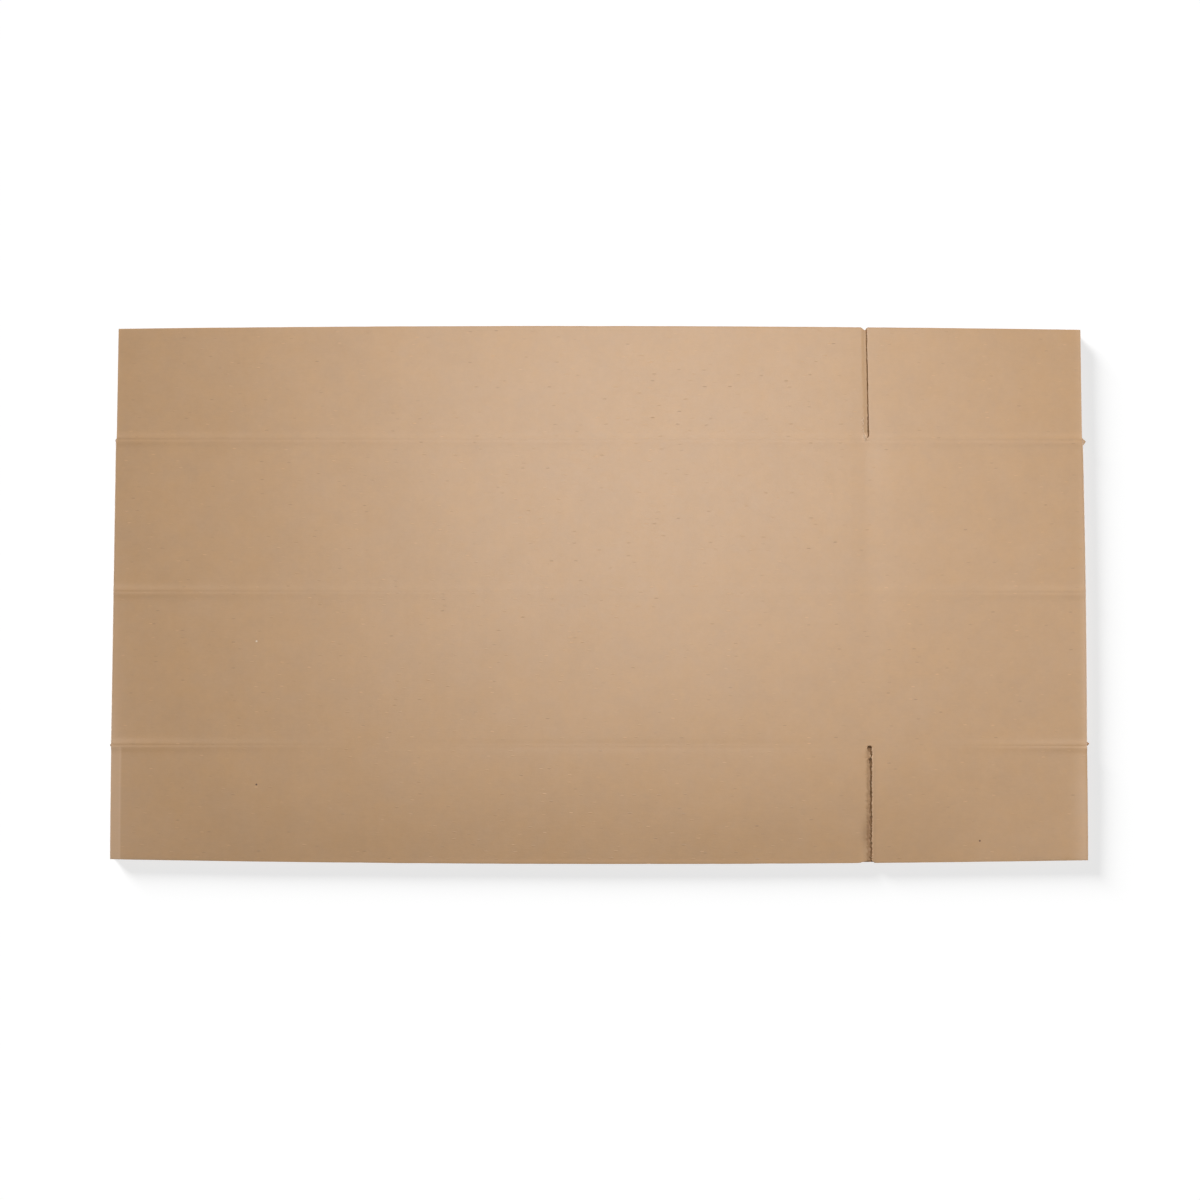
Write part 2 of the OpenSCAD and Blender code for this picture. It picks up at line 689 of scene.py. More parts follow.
class PaperGrain:
    """Shader group with the clouds, fibres and flecks of unbleached paper."""

    NAME = "paper_grain"
    INPUTS = (
        ("Cloud Scale", 44.0),
        ("Tint Scale", 40.0),
        ("Fibre Scale", 900.0),
        ("Fleck Scale", 240.0),
        ("Fleck Size", 0.1),
    )
    OUTPUTS = ("Cloud", "Tint", "Fibre", "Fleck", "Fleck Shade")
    TINT_SHIFT = (3.1, 1.7, 0.4)
    FIBRE_STRETCH = (0.2, 1.0, 1.0)
    FLECK_STRETCH = (0.24, 1.0, 1.0)
    FLECK_CORE = 0.4
    PLAIN_SHARE = 0.35

    @classmethod
    def tree(cls) -> NodeTree:
        """Gives the group, and makes it the first time."""
        made = bpy.data.node_groups.get(cls.NAME)
        return made or cls._make()

    @classmethod
    def _make(cls) -> NodeTree:
        """Builds the group's nodes.

        Returns:
            The new group.
        """
        tree = bpy.data.node_groups.new(cls.NAME, "ShaderNodeTree")
        tree.interface.new_socket("Vector", in_out="INPUT", socket_type="NodeSocketVector")
        for name, value in cls.INPUTS:
            socket = tree.interface.new_socket(name, in_out="INPUT", socket_type="NodeSocketFloat")
            socket.default_value = value
        for name in cls.OUTPUTS:
            tree.interface.new_socket(name, in_out="OUTPUT", socket_type="NodeSocketFloat")
        draft = NodeDraft(tree)
        given = draft.add("NodeGroupInput").outputs
        place = given["Vector"]
        shifted = draft.add("ShaderNodeMapping", {"Vector": place, "Location": cls.TINT_SHIFT})
        combed = draft.add("ShaderNodeMapping", {"Vector": place, "Scale": cls.FIBRE_STRETCH})
        strewn = draft.add("ShaderNodeMapping", {"Vector": place, "Scale": cls.FLECK_STRETCH})
        cells = draft.add(
            "ShaderNodeTexVoronoi",
            {"Vector": strewn.outputs[0], "Scale": given["Fleck Scale"]},
            voronoi_dimensions="2D",
        )
        shades = draft.add("ShaderNodeSeparateColor", {0: cells.outputs["Color"]})
        near = draft.math("DIVIDE", cells.outputs["Distance"], given["Fleck Size"])
        spot = draft.spread(near, (1.0, cls.FLECK_CORE), (0.0, 1.0), smooth=True)
        some = draft.spread(shades.outputs[1], (cls.PLAIN_SHARE, 1.0), (0.0, 1.0))
        draft.add(
            "NodeGroupOutput",
            {
                "Cloud": cls._noise(draft, place, given["Cloud Scale"], 5.0, 0.85),
                "Tint": cls._noise(draft, shifted.outputs[0], given["Tint Scale"], 4.0, 0.8),
                "Fibre": cls._noise(draft, combed.outputs[0], given["Fibre Scale"], 3.0, 0.6),
                "Fleck": draft.math("MULTIPLY", spot, some),
                "Fleck Shade": shades.outputs[0],
            },
        )
        return tree

    @staticmethod
    def _noise(
        draft: NodeDraft,
        place: NodeSocket,
        scale: NodeSocket,
        detail: float,
        roughness: float,
    ) -> NodeSocket:
        """Adds a cloudy pattern.

        Args:
            draft: Tree being written.
            place: Socket with the place on the surface.
            scale: Socket with the pattern's scale.
            detail: How many finer patterns lie over the coarse one.
            roughness: How strong the finer patterns are.

        Returns:
            The pattern's socket.
        """
        inputs = {"Vector": place, "Scale": scale, "Detail": detail, "Roughness": roughness}
        return draft.add("ShaderNodeTexNoise", inputs).outputs[0]


@dataclass(frozen=True)
class Speck:
    """One stray bit in the paper, at a place on the front face, in metres."""

    x: float
    y: float
    radius: float
    colour: tuple[float, float, float, float]

    def mask(self, draft: NodeDraft, place: NodeSocket) -> NodeSocket:
        """Builds the round spot that the bit covers.

        Args:
            draft: Tree being written.
            place: Socket with the surface's place.

        Returns:
            The mask's socket.
        """
        kind = "ShaderNodeVectorMath"
        away = draft.add(kind, {0: place, 1: (self.x, self.y, 0.0)}, operation="SUBTRACT")
        flat = draft.add(kind, {0: away.outputs[0], 1: (1.0, 1.0, 0.0)}, operation="MULTIPLY")
        length = draft.add(kind, {0: flat.outputs[0]}, operation="LENGTH").outputs["Value"]
        return draft.spread(length, (self.radius, 0.5 * self.radius), (0.0, 1.0), smooth=True)


@dataclass(frozen=True)
class PaperFinish:
    """Look of one kind of paper surface."""

    # Colour shifts of the wear and of the painted light and shade: tint where paler, warmth where
    # darker, and the margin before warming
    PALER_TINT: ClassVar[tuple[float, float, float]] = (-0.25, 0.1, 0.9)
    DARKER_WARMTH: ClassVar[tuple[float, float, float]] = (-0.2, -0.02, 0.22)
    UNWARMED_SHARE: ClassVar[float] = 0.08
    WARM_SHARE: ClassVar[float] = 0.4
    ROUGHNESS_SWAY: ClassVar[float] = 0.05
    FLECK_RISE: ClassVar[float] = 2.4

    name: str
    colour: tuple[float, float, float, float]
    cloud_share: float = 0.037
    tint_share: float = 0.045
    fibre_share: float = 0.015
    fleck_share: float = 0.245
    fibre_scale: float = 900.0
    roughness: float = 0.38
    specular: float = 0.42
    grain_depth: float = 0.03 * MM
    washboard: float = 0.0
    flute_pitch: float = BoardMake.flute_pitch
    # How strongly wear and painted light and shade change the colour
    wear_and_shade_share: float = 0.0
    specks: tuple[Speck, ...] = ()

    def material(self) -> Material:
        """Gives the finish as a material, and makes it the first time."""
        made = bpy.data.materials.get(self.name)
        return made or self._make()

    def _make(self) -> Material:
        """Builds the material's nodes.

        Returns:
            The new material.
        """
        material = bpy.data.materials.new(self.name)
        material.use_nodes = True
        draft = NodeDraft(material.node_tree)
        place = draft.add("ShaderNodeTexCoord").outputs["Object"]
        grain = draft.add(
            "ShaderNodeGroup",
            {"Vector": place, "Fibre Scale": self.fibre_scale},
            node_tree=PaperGrain.tree(),
        ).outputs
        smoothest, roughest = self.roughness - self.ROUGHNESS_SWAY, self.roughness + self.ROUGHNESS_SWAY
        height = self._height(draft, grain, place)
        bumped = draft.add(
            "ShaderNodeBump",
            {"Strength": 1.0, "Distance": self.grain_depth, "Height": height},
        )
        shader = draft.add(
            "ShaderNodeBsdfPrincipled",
            {
                "Base Color": self._colour(draft, grain, place),
                "Roughness": draft.spread(grain["Fibre"], (0.3, 0.7), (smoothest, roughest)),
                "Normal": bumped.outputs[0],
                "Specular IOR Level": self.specular,
            },
        )
        draft.add("ShaderNodeOutputMaterial", {"Surface": shader.outputs[0]})
        return material

    def _colour(self, draft: NodeDraft, grain: NodeOutputs, place: NodeSocket) -> NodeSocket:
        """Builds the paper's colour: grain, wear and specks over the plain brown.

        Args:
            draft: Tree being written.
            grain: Outputs of the grain group.
            place: Socket with the surface's place.

        Returns:
            The colour's socket.
        """
        shares = self._grained(draft, grain)
        if self.wear_and_shade_share:
            shares = self._worn_and_shaded(draft, shares)
        grey = draft.add("ShaderNodeCombineColor", dict(enumerate(shares)))
        colour = draft.mix(1.0, self.colour, grey.outputs[0], "MULTIPLY")
        for speck in self.specks:
            colour = draft.mix(speck.mask(draft, place), colour, speck.colour)
        return colour

    def _grained(self, draft: NodeDraft, grain: NodeOutputs) -> list[NodeSocket]:
        """Builds how much of the plain brown each place shows: clouds, fibres, flecks and tint.

        Args:
            draft: Tree being written.
            grain: Outputs of the grain group.

        Returns:
            Sockets with the shares of red, green and blue.
        """
        cloud = self._around_one(draft, grain["Cloud"], (0.3, 0.7), self.cloud_share)
        fibre = self._around_one(draft, grain["Fibre"], (0.25, 0.75), self.fibre_share)
        shade = self._around_one(draft, grain["Fleck Shade"], (0.0, 1.0), self.fleck_share)
        fleck = draft.math("MULTIPLY", draft.math("SUBTRACT", shade, 1.0), grain["Fleck"])
        tone = draft.math("ADD", fleck, draft.math("MULTIPLY", cloud, fibre))
        warm = self._around_one(draft, grain["Tint"], (0.3, 0.7), self.WARM_SHARE * self.tint_share)
        cool = self._around_one(draft, grain["Tint"], (0.3, 0.7), -self.tint_share)
        return [draft.math("MULTIPLY", tone, warm), tone, draft.math("MULTIPLY", tone, cool)]

    @staticmethod
    def _around_one(
        draft: NodeDraft,
        value: NodeSocket,
        source: tuple[float, float],
        share: float,
    ) -> NodeSocket:
        """Maps a pattern on shares that lie evenly round 1."""
        return draft.spread(value, source, (1 - share, 1 + share))

    def _worn_and_shaded(self, draft: NodeDraft, shares: list[NodeSocket]) -> list[NodeSocket]:
        """Makes the shares paler where wear and painted light lift the face, and darker and warmer where
        soil and painted shade lower it.

        Args:
            draft: Tree being written.
            shares: Sockets with the shares of red, green and blue.

        Returns:
            Sockets with the changed shares.
        """
        # Wear and painted light and shade of the face, as stored on the mesh
        wear_and_shade = draft.add("ShaderNodeAttribute", attribute_name=ThickSheet.WEAR_AND_SHADE).outputs["Fac"]
        worn_and_shaded = draft.math("MULTIPLY", wear_and_shade, self.wear_and_shade_share)
        pale = draft.math("MAXIMUM", worn_and_shaded, 0.0)
        darker = draft.math("MINIMUM", draft.math("ADD", worn_and_shaded, self.UNWARMED_SHARE), 0.0)
        changed = []
        for share, paleness, warmth in zip(shares, self.PALER_TINT, self.DARKER_WARMTH):
            share = draft.math("ADD", worn_and_shaded, share)
            share = draft.math("MULTIPLY_ADD", pale, paleness, share)
            changed.append(draft.math("MULTIPLY_ADD", darker, warmth, share))
        return changed

    def _height(self, draft: NodeDraft, grain: NodeOutputs, place: NodeSocket) -> NodeSocket:
        """Builds the paper's fine relief: fibres, raised flecks and the faint print of the flutes.

        Args:
            draft: Tree being written.
            grain: Outputs of the grain group.
            place: Socket with the surface's place.

        Returns:
            The height's socket.
        """
        height = draft.math("MULTIPLY_ADD", grain["Fleck"], self.FLECK_RISE, grain["Fibre"])
        if self.washboard:
            along = draft.add("ShaderNodeSeparateXYZ", {0: place}).outputs[0]
            turns = draft.math("MULTIPLY", along, 2 * math.pi / self.flute_pitch)
            ripple = draft.math("SINE", turns)
            height = draft.math("MULTIPLY_ADD", ripple, self.washboard / self.grain_depth, height)
        return height


@dataclass(frozen=True)
class BoardFinishes:
    """The finishes of the board, one for each material slot of a board mesh, and of torn fibres."""

    outer: PaperFinish
    inner: PaperFinish
    rim: PaperFinish
    core: PaperFinish
    torn: PaperFinish

    def materials(self) -> list[Material]:
        """Gives the materials in the order of the slots."""
        return [finish.material() for finish in (self.outer, self.inner, self.rim, self.core)]


@dataclass(eq=False)
class ThickSheet:
    """Closed mesh of a sheet of board, laid on a grid of columns and rows.

    Both faces are points by row and column, and keep says which cells of the grid are board. The cut
    depth is how far the core lies back behind the liners, and the last how much paler or darker the
    outer face is, by wear and by painted light and shade.
    """

    WEAR_AND_SHADE: ClassVar[str] = "wear_and_shade_values"
    MERGE: ClassVar[float] = 0.0005 * MM
    THICKEST_LINER: ClassVar[float] = 0.45

    name: str
    outer: np.ndarray
    inner: np.ndarray
    keep: np.ndarray
    cut_depth: np.ndarray
    liner: float
    wear_and_shade: Optional[np.ndarray] = None
    points: list[Sequence[float]] = field(init=False, default_factory=list)
    faces: list[tuple[int, ...]] = field(init=False, default_factory=list)
    slots: list[int] = field(init=False, default_factory=list)

    def build(self, materials: Sequence[Material]) -> Object:
        """Makes the mesh and its object.

        Args:
            materials: Materials in the order of the slots.

        Returns:
            The new object, in place at the origin.
        """
        rows, columns = self.outer.shape[:2]
        self.points = list(self.outer.reshape(-1, 3)) + list(self.inner.reshape(-1, 3))
        for row, column in zip(*np.nonzero(self.keep)):
            corners = self._corners(int(row), int(column), columns)
            self._face(corners, Face.OUTER)
            self._face([index + rows * columns for index in reversed(corners)], Face.INNER)
        self._walls()
        return self._object(materials)

    def _face(self, corners: Sequence[int], slot: Face) -> None:
        """Adds one face with its material slot."""
        self.faces.append(tuple(corners))
        self.slots.append(int(slot))

    @staticmethod
    def _corners(row: int, column: int, columns: int) -> list[int]:
        """Outer corners of a cell, in order round it."""
        first = row * columns + column
        return [first, first + 1, first + columns + 1, first + columns]

    def _borders(self) -> list[tuple[tuple[int, int], tuple[int, int], tuple[int, int]]]:
        """Edges of kept cells that border on no kept cell.

        Returns:
            For each edge its two grid points and the grid step that leads into the board.
        """
        padded = np.pad(self.keep, 1)
        found = []
        for row, column in zip(*np.nonzero(self.keep)):
            row, column = int(row), int(column)
            sides = (
                ((-1, 0), (row, column), (row, column + 1)),
                ((0, 1), (row, column + 1), (row + 1, column + 1)),
                ((1, 0), (row + 1, column + 1), (row + 1, column)),
                ((0, -1), (row + 1, column), (row, column)),
            )
            for (down, across), first, second in sides:
                if not padded[row + 1 + down, column + 1 + across]:
                    found.append((first, second, (-down, -across)))
        return found

    def _walls(self) -> None:
        """Closes the cut edges: a liner's edge on each side, and the core set back between them."""
        borders = self._borders()
        inward: dict[tuple[int, int], np.ndarray] = {}
        for first, second, step in borders:
            for spot in (first, second):
                inward[spot] = inward.get(spot, np.zeros(2)) + np.array(step)
        middle = (self.outer + self.inner) / 2
        down = np.gradient(middle, axis=0)
        across = np.gradient(middle, axis=1)
        rings: dict[tuple[int, int], list[int]] = {}
        for spot, step in inward.items():
            rings[spot] = self._ring(spot, np.clip(step, -1, 1), down[spot], across[spot])
        slots = (Face.RIM, Face.CORE, Face.CORE, Face.CORE, Face.RIM)
        for first, second, _ in borders:
            for level, slot in enumerate(slots):
                upper, lower = rings[first], rings[second]
                corners = [upper[level + 1], lower[level + 1], lower[level], upper[level]]
                self._face(corners, slot)

    def _ring(
        self,
        spot: tuple[int, int],
        step: np.ndarray,
        down: np.ndarray,
        across: np.ndarray,
    ) -> list[int]:
        """Adds the points of a cut edge under one edge point.

        Args:
            spot: Row and column of the edge point.
            step: Grid step that leads into the board.
            down: Direction of rising rows.
            across: Direction of rising columns.

        Returns:
            Indices of the six points, from the outer face to the inner one.
        """
        top, bottom = self.outer[spot], self.inner[spot]
        through = bottom - top
        share = min(self.THICKEST_LINER, self.liner / float(np.linalg.norm(through)))
        lead = step[0] * down / np.linalg.norm(down) + step[1] * across / np.linalg.norm(across)
        back = lead * self.cut_depth[spot]
        upper, lower = top + through * share, bottom - through * share
        first = len(self.points)
        self.points += [upper, upper + back, lower + back, lower]
        rows, columns = self.outer.shape[:2]
        outer_index = spot[0] * columns + spot[1]
        return [outer_index, first, first + 1, first + 2, first + 3, outer_index + rows * columns]

    def _object(self, materials: Sequence[Material]) -> Object:
        """Turns the points and faces into an object.

        Args:
            materials: Materials in the order of the slots.

        Returns:
            The new object.
        """
        mesh = bpy.data.meshes.new(self.name)
        mesh.from_pydata([tuple(point) for point in self.points], [], self.faces)
        for material in materials:
            mesh.materials.append(material)
        mesh.polygons.foreach_set("material_index", self.slots)
        # Wear and painted light and shade of the outer face, stored on its points
        wear_and_shade_values = np.zeros(len(self.points))
        if self.wear_and_shade is not None:
            wear_and_shade_values[: self.wear_and_shade.size] = self.wear_and_shade.ravel()
        mesh.attributes.new(self.WEAR_AND_SHADE, "FLOAT", "POINT").data.foreach_set("value", wear_and_shade_values)
        self._clean(mesh)
        item = bpy.data.objects.new(self.name, mesh)
        bpy.context.scene.collection.objects.link(item)
        return item

    def _clean(self, mesh: Mesh) -> None:
        """Closes a mesh and shades it smooth, apart from its cut edges.

        Args:
            mesh: Mesh to clean.
        """
        work = bmesh.new()
        work.from_mesh(mesh)
        loose = [vertex for vertex in work.verts if not vertex.link_faces]
        bmesh.ops.delete(work, geom=loose, context="VERTS")
        bmesh.ops.remove_doubles(work, verts=work.verts, dist=self.MERGE)
        bmesh.ops.recalc_face_normals(work, faces=work.faces)
        for face in work.faces:
            face.smooth = face.material_index in (Face.OUTER, Face.INNER)
        for edge in work.edges:
            edge.smooth = len({face.material_index for face in edge.link_faces}) == 1
        work.to_mesh(mesh)
        work.free()


@dataclass
class Carton:
    """What every piece of the carton shares."""

    sizes: CartonSizes = field(default_factory=CartonSizes.from_frame)
    make: BoardMake = field(default_factory=BoardMake)
    front: FaceRelief = field(init=False)
    back: FaceRelief = field(init=False)
    finishes: BoardFinishes = field(init=False)

    def __post_init__(self) -> None:
        """Sets the relief of both layers and the finishes."""
        self.front = FaceRelief(self.sizes, crushed_mouth=0.3 * MM, worn_and_shaded=True)
        self.back = FaceRelief(self.sizes, left_dip=0.1 * MM, right_bead=0.0, sway=0.0)
        self.finishes = self._finishes()

    @staticmethod
    def _finishes() -> BoardFinishes:
        """Chooses the papers of the board.

        Returns:
            The finishes of all its surfaces.
        """
        specks = (
            Speck(-227 * MM, -33 * MM, 0.8 * MM, linear(230, 212, 188)),
            Speck(-226 * MM, -127.5 * MM, 0.8 * MM, linear(96, 70, 50)),
            Speck(251 * MM, -164 * MM, 0.8 * MM, linear(110, 82, 58)),
        )
        return BoardFinishes(
            outer=PaperFinish(
                "kraft_outer_liner",
                linear(199, 160, 120),
                washboard=0.004 * MM,
                wear_and_shade_share=0.16,
                specks=specks,
            ),
            inner=PaperFinish(
                "kraft_inner_liner",
                linear(190, 149, 108),
                fleck_share=0.3,
                roughness=0.75,
            ),
            rim=PaperFinish(
                "cut_liner_edge",
                linear(205, 172, 138),
                fibre_share=0.14,
                fibre_scale=1500.0,
                roughness=0.85,
                specular=0.2,
                grain_depth=0.08 * MM,
            ),
            core=PaperFinish(
                "fluted_core",
                linear(174, 129, 86),
                fibre_share=0.1,
                roughness=0.85,
                specular=0.2,
                grain_depth=0.05 * MM,
            ),
            torn=PaperFinish("torn_fibres", linear(236, 210, 177), roughness=0.9, specular=0.1),
        )


@dataclass(frozen=True)
class BoardPiece:
    """A piece of the carton's board."""

    carton: Carton

    @property
    def sizes(self) -> CartonSizes:
        """Sizes of the carton."""
        return self.carton.sizes

    @property
    def make(self) -> BoardMake:
        """How the board is made."""
        return self.carton.make


class Column(NamedTuple):
    """One column of the sleeve's section: a point on each face, and how the column takes part.

    The last four are its shares of the front and back relief, the share of the height that it
    reaches and whether it runs on to the ends of the wall, beside the flaps.
    """

    x_out: float
    z_out: float
    x_in: float
    z_in: float
    front: float = 0.0
    back: float = 0.0
    reach: float = 1.0
    to_ends: float = 1.0


@dataclass(frozen=True)
class Sleeve(BoardPiece):
    """The folded and glued four-panel sleeve."""

    NODE: ClassVar[str] = "sleeve"
    TAB_STEPS: ClassVar[int] = 5
    BEND_STEPS: ClassVar[int] = 6
    FOLD_STEPS: ClassVar[int] = 23

    def build(self) -> Object:
        """Builds the sleeve, dresses it and lets it stand for its node.

        Returns:
            The new piece.
        """
        outer, inner = self._faces()
        keep, cut = self._keep(), self._cut_depth()
        # Wear and painted light and shade of the front face
        wear_and_shade = self.section["front"] * self.carton.front.wear_and_shade(outer[:, :, 0], outer[:, :, 1])
        sheet = ThickSheet("folded_sleeve", outer, inner, keep, cut, self.make.liner, wear_and_shade)
        item = sheet.build(self.carton.finishes.materials())
        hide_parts(self.NODE)
        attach(item, self.NODE)
        return item

    @cached_property
    def rows(self) -> np.ndarray:
        """Places along the box height, close together at the scores.

        Returns:
            The places in rising order.
        """
        wall, tuck = self.sizes.half_wall, self.make.tuck
        near_line = 6 * MM
        upper = chained(
            graded(0.0, near_line, 0.4 * MM, 1.2 * MM, 1.2 * MM),
            graded(near_line, wall - tuck, 1.5 * MM, 0.8 * MM, 9 * MM),
            graded(wall - tuck, wall, 0.6 * MM, 0.4 * MM, 0.7 * MM),
        )
        return np.concatenate([-upper[:0:-1], upper])

    @cached_property
    def section(self) -> dict[str, np.ndarray]:
        """Columns once round the section, from the tab's tip to the short panel's cut edge.

        Returns:
            The values of all columns, by their names.
        """
        columns = self._tab() + self._back_long_panel() + self._fold(1.0)
        columns += self._front_panels() + self._fold(-1.0) + self._back_short_panel()
        return dict(zip(Column._fields, np.array(columns, float).T))

    def _tab(self) -> list[Column]:
        """Lays out the glued tab and the bend that lifts the long panel's edge into it.

        Returns:
            The columns from the tab's tip on.
        """
        sizes, make = self.sizes, self.make
        inside = sizes.board + make.tab_thickness
        tip_reach = 1 - make.tab_taper / sizes.half_wall
        root_reach = 1 - make.tuck * 1.2 / sizes.half_wall
        columns = []
        for share in np.linspace(0.0, 1.0, self.TAB_STEPS):
            x = sizes.seam_x - make.tab_width * (1 - share)
            reach = tip_reach + (root_reach - tip_reach) * share
            columns.append(Column(x, sizes.board + make.tab_play, x, inside, reach=reach, to_ends=0.0))
        for share in np.linspace(0.0, 1.0, self.BEND_STEPS):
            eased = ramp(share, 0.0, 1.0)
            x_out = sizes.seam_x + make.seam_gap / 2 + make.tab_bend * share
            x_in = sizes.seam_x + make.tab_root + (make.tab_bend + make.seam_gap) * share
            z_out, z_in = sizes.board * (1 - eased), inside - make.tab_thickness * eased
            reach = root_reach + (1 - root_reach) * share
            columns.append(Column(x_out, z_out, x_in, z_in, reach=reach))
        return columns

    def _back_long_panel(self) -> list[Column]:
        """Lays out the long panel of the back layer, from the tab's bend to the right fold.

        Returns:
            Its columns.
        """
        sizes, make = self.sizes, self.make
        after_bend = sizes.seam_x + make.seam_gap / 2 + make.tab_bend
        left_ear = sizes.seam_x + make.seam_ear
        right_ear = sizes.half_width - make.ear
        run = chained(
            np.array([after_bend, left_ear]),
            graded(left_ear, right_ear, 1 * MM, 1 * MM, 9 * MM),
            graded(right_ear, sizes.half_width - sizes.fold_radius, 1 * MM, 1 * MM, 1 * MM),
        )
        return self._back_columns(run[1:], left_ear, right_ear)

    def _back_short_panel(self) -> list[Column]:
        """Lays out the short panel of the back layer, from the left fold to its cut edge.

        Returns:
            Its columns.
        """
        sizes, make = self.sizes, self.make
        left_ear = -sizes.half_width + make.ear
        right_ear = -sizes.slot_right
        run = chained(
            graded(-sizes.half_width + sizes.fold_radius, left_ear, 1 * MM, 1 * MM, 1 * MM),
            graded(left_ear, right_ear, 1 * MM, 1 * MM, 9 * MM),
            graded(right_ear, sizes.seam_x - make.seam_gap / 2, 0.4 * MM, 0.3 * MM, 0.5 * MM),
        )
        return self._back_columns(run, left_ear, right_ear)

    def _back_columns(self, run: np.ndarray, left_ear: float, right_ear: float) -> list[Column]:
        """Turns places on the back layer into columns.

        Args:
            run: Places along the scores.
            left_ear: Up to here the panel runs on to the ends of the wall.
            right_ear: From here on it does so again.

        Returns:
            A column for each place.
        """
        columns = []
        for x in run:
            beside_flap = x <= left_ear + SAME_PLACE or x >= right_ear - SAME_PLACE
            columns.append(Column(x, 0.0, x, self.sizes.board, back=1.0, to_ends=float(beside_flap)))
        return columns

    def _front_panels(self) -> list[Column]:
        """Lays out both panels of the front layer, from the right fold to the left one.

        Returns:
            Their columns.
        """
        sizes, half, ear = self.sizes, self.sizes.half_width, self.make.ear
        run = chained(
            graded(-half + sizes.fold_radius, -half + ear, 0.6 * MM, 0.6 * MM, 0.8 * MM),
            graded(-half + ear, sizes.slot_left, 0.6 * MM, 0.8 * MM, 8 * MM),
            graded(sizes.slot_left, sizes.slot_right, 0.6 * MM, 0.6 * MM, 0.7 * MM),
            graded(sizes.slot_right, half - ear, 0.8 * MM, 0.8 * MM, 8 * MM),
            graded(half - ear, half - sizes.fold_radius, 0.7 * MM, 0.7 * MM, 0.8 * MM),
        )
        under = sizes.stack - sizes.board
        columns = []
        for x in run[::-1]:
            in_slot = sizes.slot_left - SAME_PLACE <= x <= sizes.slot_right + SAME_PLACE
            beside_flap = in_slot or abs(x) >= half - ear - SAME_PLACE
            columns.append(Column(x, sizes.stack, x, under, front=1.0, to_ends=float(beside_flap)))
        return columns

    def _fold(self, side: float) -> list[Column]:
        """Lays out the round of a folded edge.

        Args:
            side: 1 for the right edge, run upwards, and -1 for the left one, run downwards.

        Returns:
            Its columns.
        """
        sizes, make = self.sizes, self.make
        radius = sizes.fold_radius
        hollow = radius - sizes.board
        centre = side * (sizes.half_width - radius)
        power = 2 / make.fold_squareness
        columns = []
        for angle in np.linspace(-math.pi / 2, math.pi / 2, self.FOLD_STEPS)[1:-1] * side:
            out, rise = math.cos(angle), math.sin(angle)
            square_rise = math.copysign(abs(rise) ** power, rise)
            x_out = centre + side * (radius + make.fold_bulge) * out**power
            x_in = centre + side * hollow * out
            z_out, z_in = radius * (1 + square_rise), radius + hollow * rise
            columns.append(Column(x_out, z_out, x_in, z_in, front=max(0.0, square_rise) ** 2))
        return columns

    def _faces(self) -> tuple[np.ndarray, np.ndarray]:
        """Lays the section along the height and presses the relief into its outer face.

        Returns:
            Points of the outer and the inner face.
        """
        section = self.section
        edge = self.sizes.half_width - self.sizes.fold_radius
        y = self.rows[:, None] * section["reach"][None, :]
        fullness = 1 - (y / self.sizes.half_wall) ** 2
        past_edge = np.clip((section["x_out"] - edge) / self.sizes.fold_radius, 0.0, 1.0)
        x = section["x_out"] + self.make.right_bulge * past_edge * fullness
        front_x = np.clip(x, -edge, edge)
        z = section["z_out"] + section["front"] * self.carton.front.height(front_x, y)
        pressed = np.minimum(self.carton.back.height(-x, y), 0.0)
        z = z - section["back"] * pressed
        outer = np.stack([x, y, z], axis=-1)
        x_in = np.broadcast_to(section["x_in"], y.shape)
        z_in = np.broadcast_to(section["z_in"], y.shape)
        return outer, np.stack([x_in, y, z_in], axis=-1)

    def _keep(self) -> np.ndarray:
        """Leaves out the strips beside the scores that belong to the flaps.

        Returns:
            Which cells of the grid are board.
        """
        middle = (self.rows[1:] + self.rows[:-1]) / 2
        in_wall = np.abs(middle) < self.sizes.half_wall - self.make.tuck
        to_ends = (self.section["to_ends"][1:] * self.section["to_ends"][:-1]) > 0.5
        return in_wall[:, None] | to_ends[None, :]

    def _cut_depth(self) -> np.ndarray:
        """Sets the core back at the ends of the wall and at the seam's cut edge.

        Returns:
            Depth behind the liners at each grid point.
        """
        depth = np.zeros((len(self.rows), len(self.section["x_out"])))
        ends = np.abs(self.rows) > self.sizes.half_wall - ON_EDGE
        depth[ends, :] = self.make.score_cut
        depth[:, -1] = self.make.seam_cut
        depth[ends, -1] = self.make.corner_cut
        return depth


@dataclass(frozen=True)
class TornSpot:
    """Torn paper beside a slot, from one place to another, in metres.

    A place is an offset from the slot's edge and a distance from the score.
    """

    start: tuple[float, float]
    end: tuple[float, float]
    count: int
    length: float
    thickness: float
    height: float = 0.07 * MM
    turn: float = 1.2


@dataclass(frozen=True)
class SlotEdge:
    """How the slotting knife has left a flap's edge, in metres.

    Pairs are values at the score and at the mouth. Offsets run along the scores of the front layer.
    """

    edge: tuple[float, float] = (0.0, 0.0)
    crush: tuple[float, float] = (0.0, 0.0)
    drop: float = 0.0
    closed: float = 0.0
    rounding: float = 0.0
    end_hole: float = 0.0
    ragged: float = 0.05 * MM
    roll: float = 0.15 * MM
    lip_from: float = 0.3 * MM
    lip_step: float = 0.9 * MM
    # Painted shade on the crushed lip beside the slot
    lip_painted_shade: float = 0.0
    lip_rise: float = 0.0
    lip_ragged: float = 0.0
    # Painted highlight on the slot's rim, with painted shade just behind it
    rim_painted_light: float = 0.0
    slant: float = 0.0
    fibres: int = 0
    fibres_soiled: bool = False
    torn: tuple[TornSpot, ...] = ()
    mouth_width: float = 1.2 * MM
    mouth_depth: float = 1.2 * MM


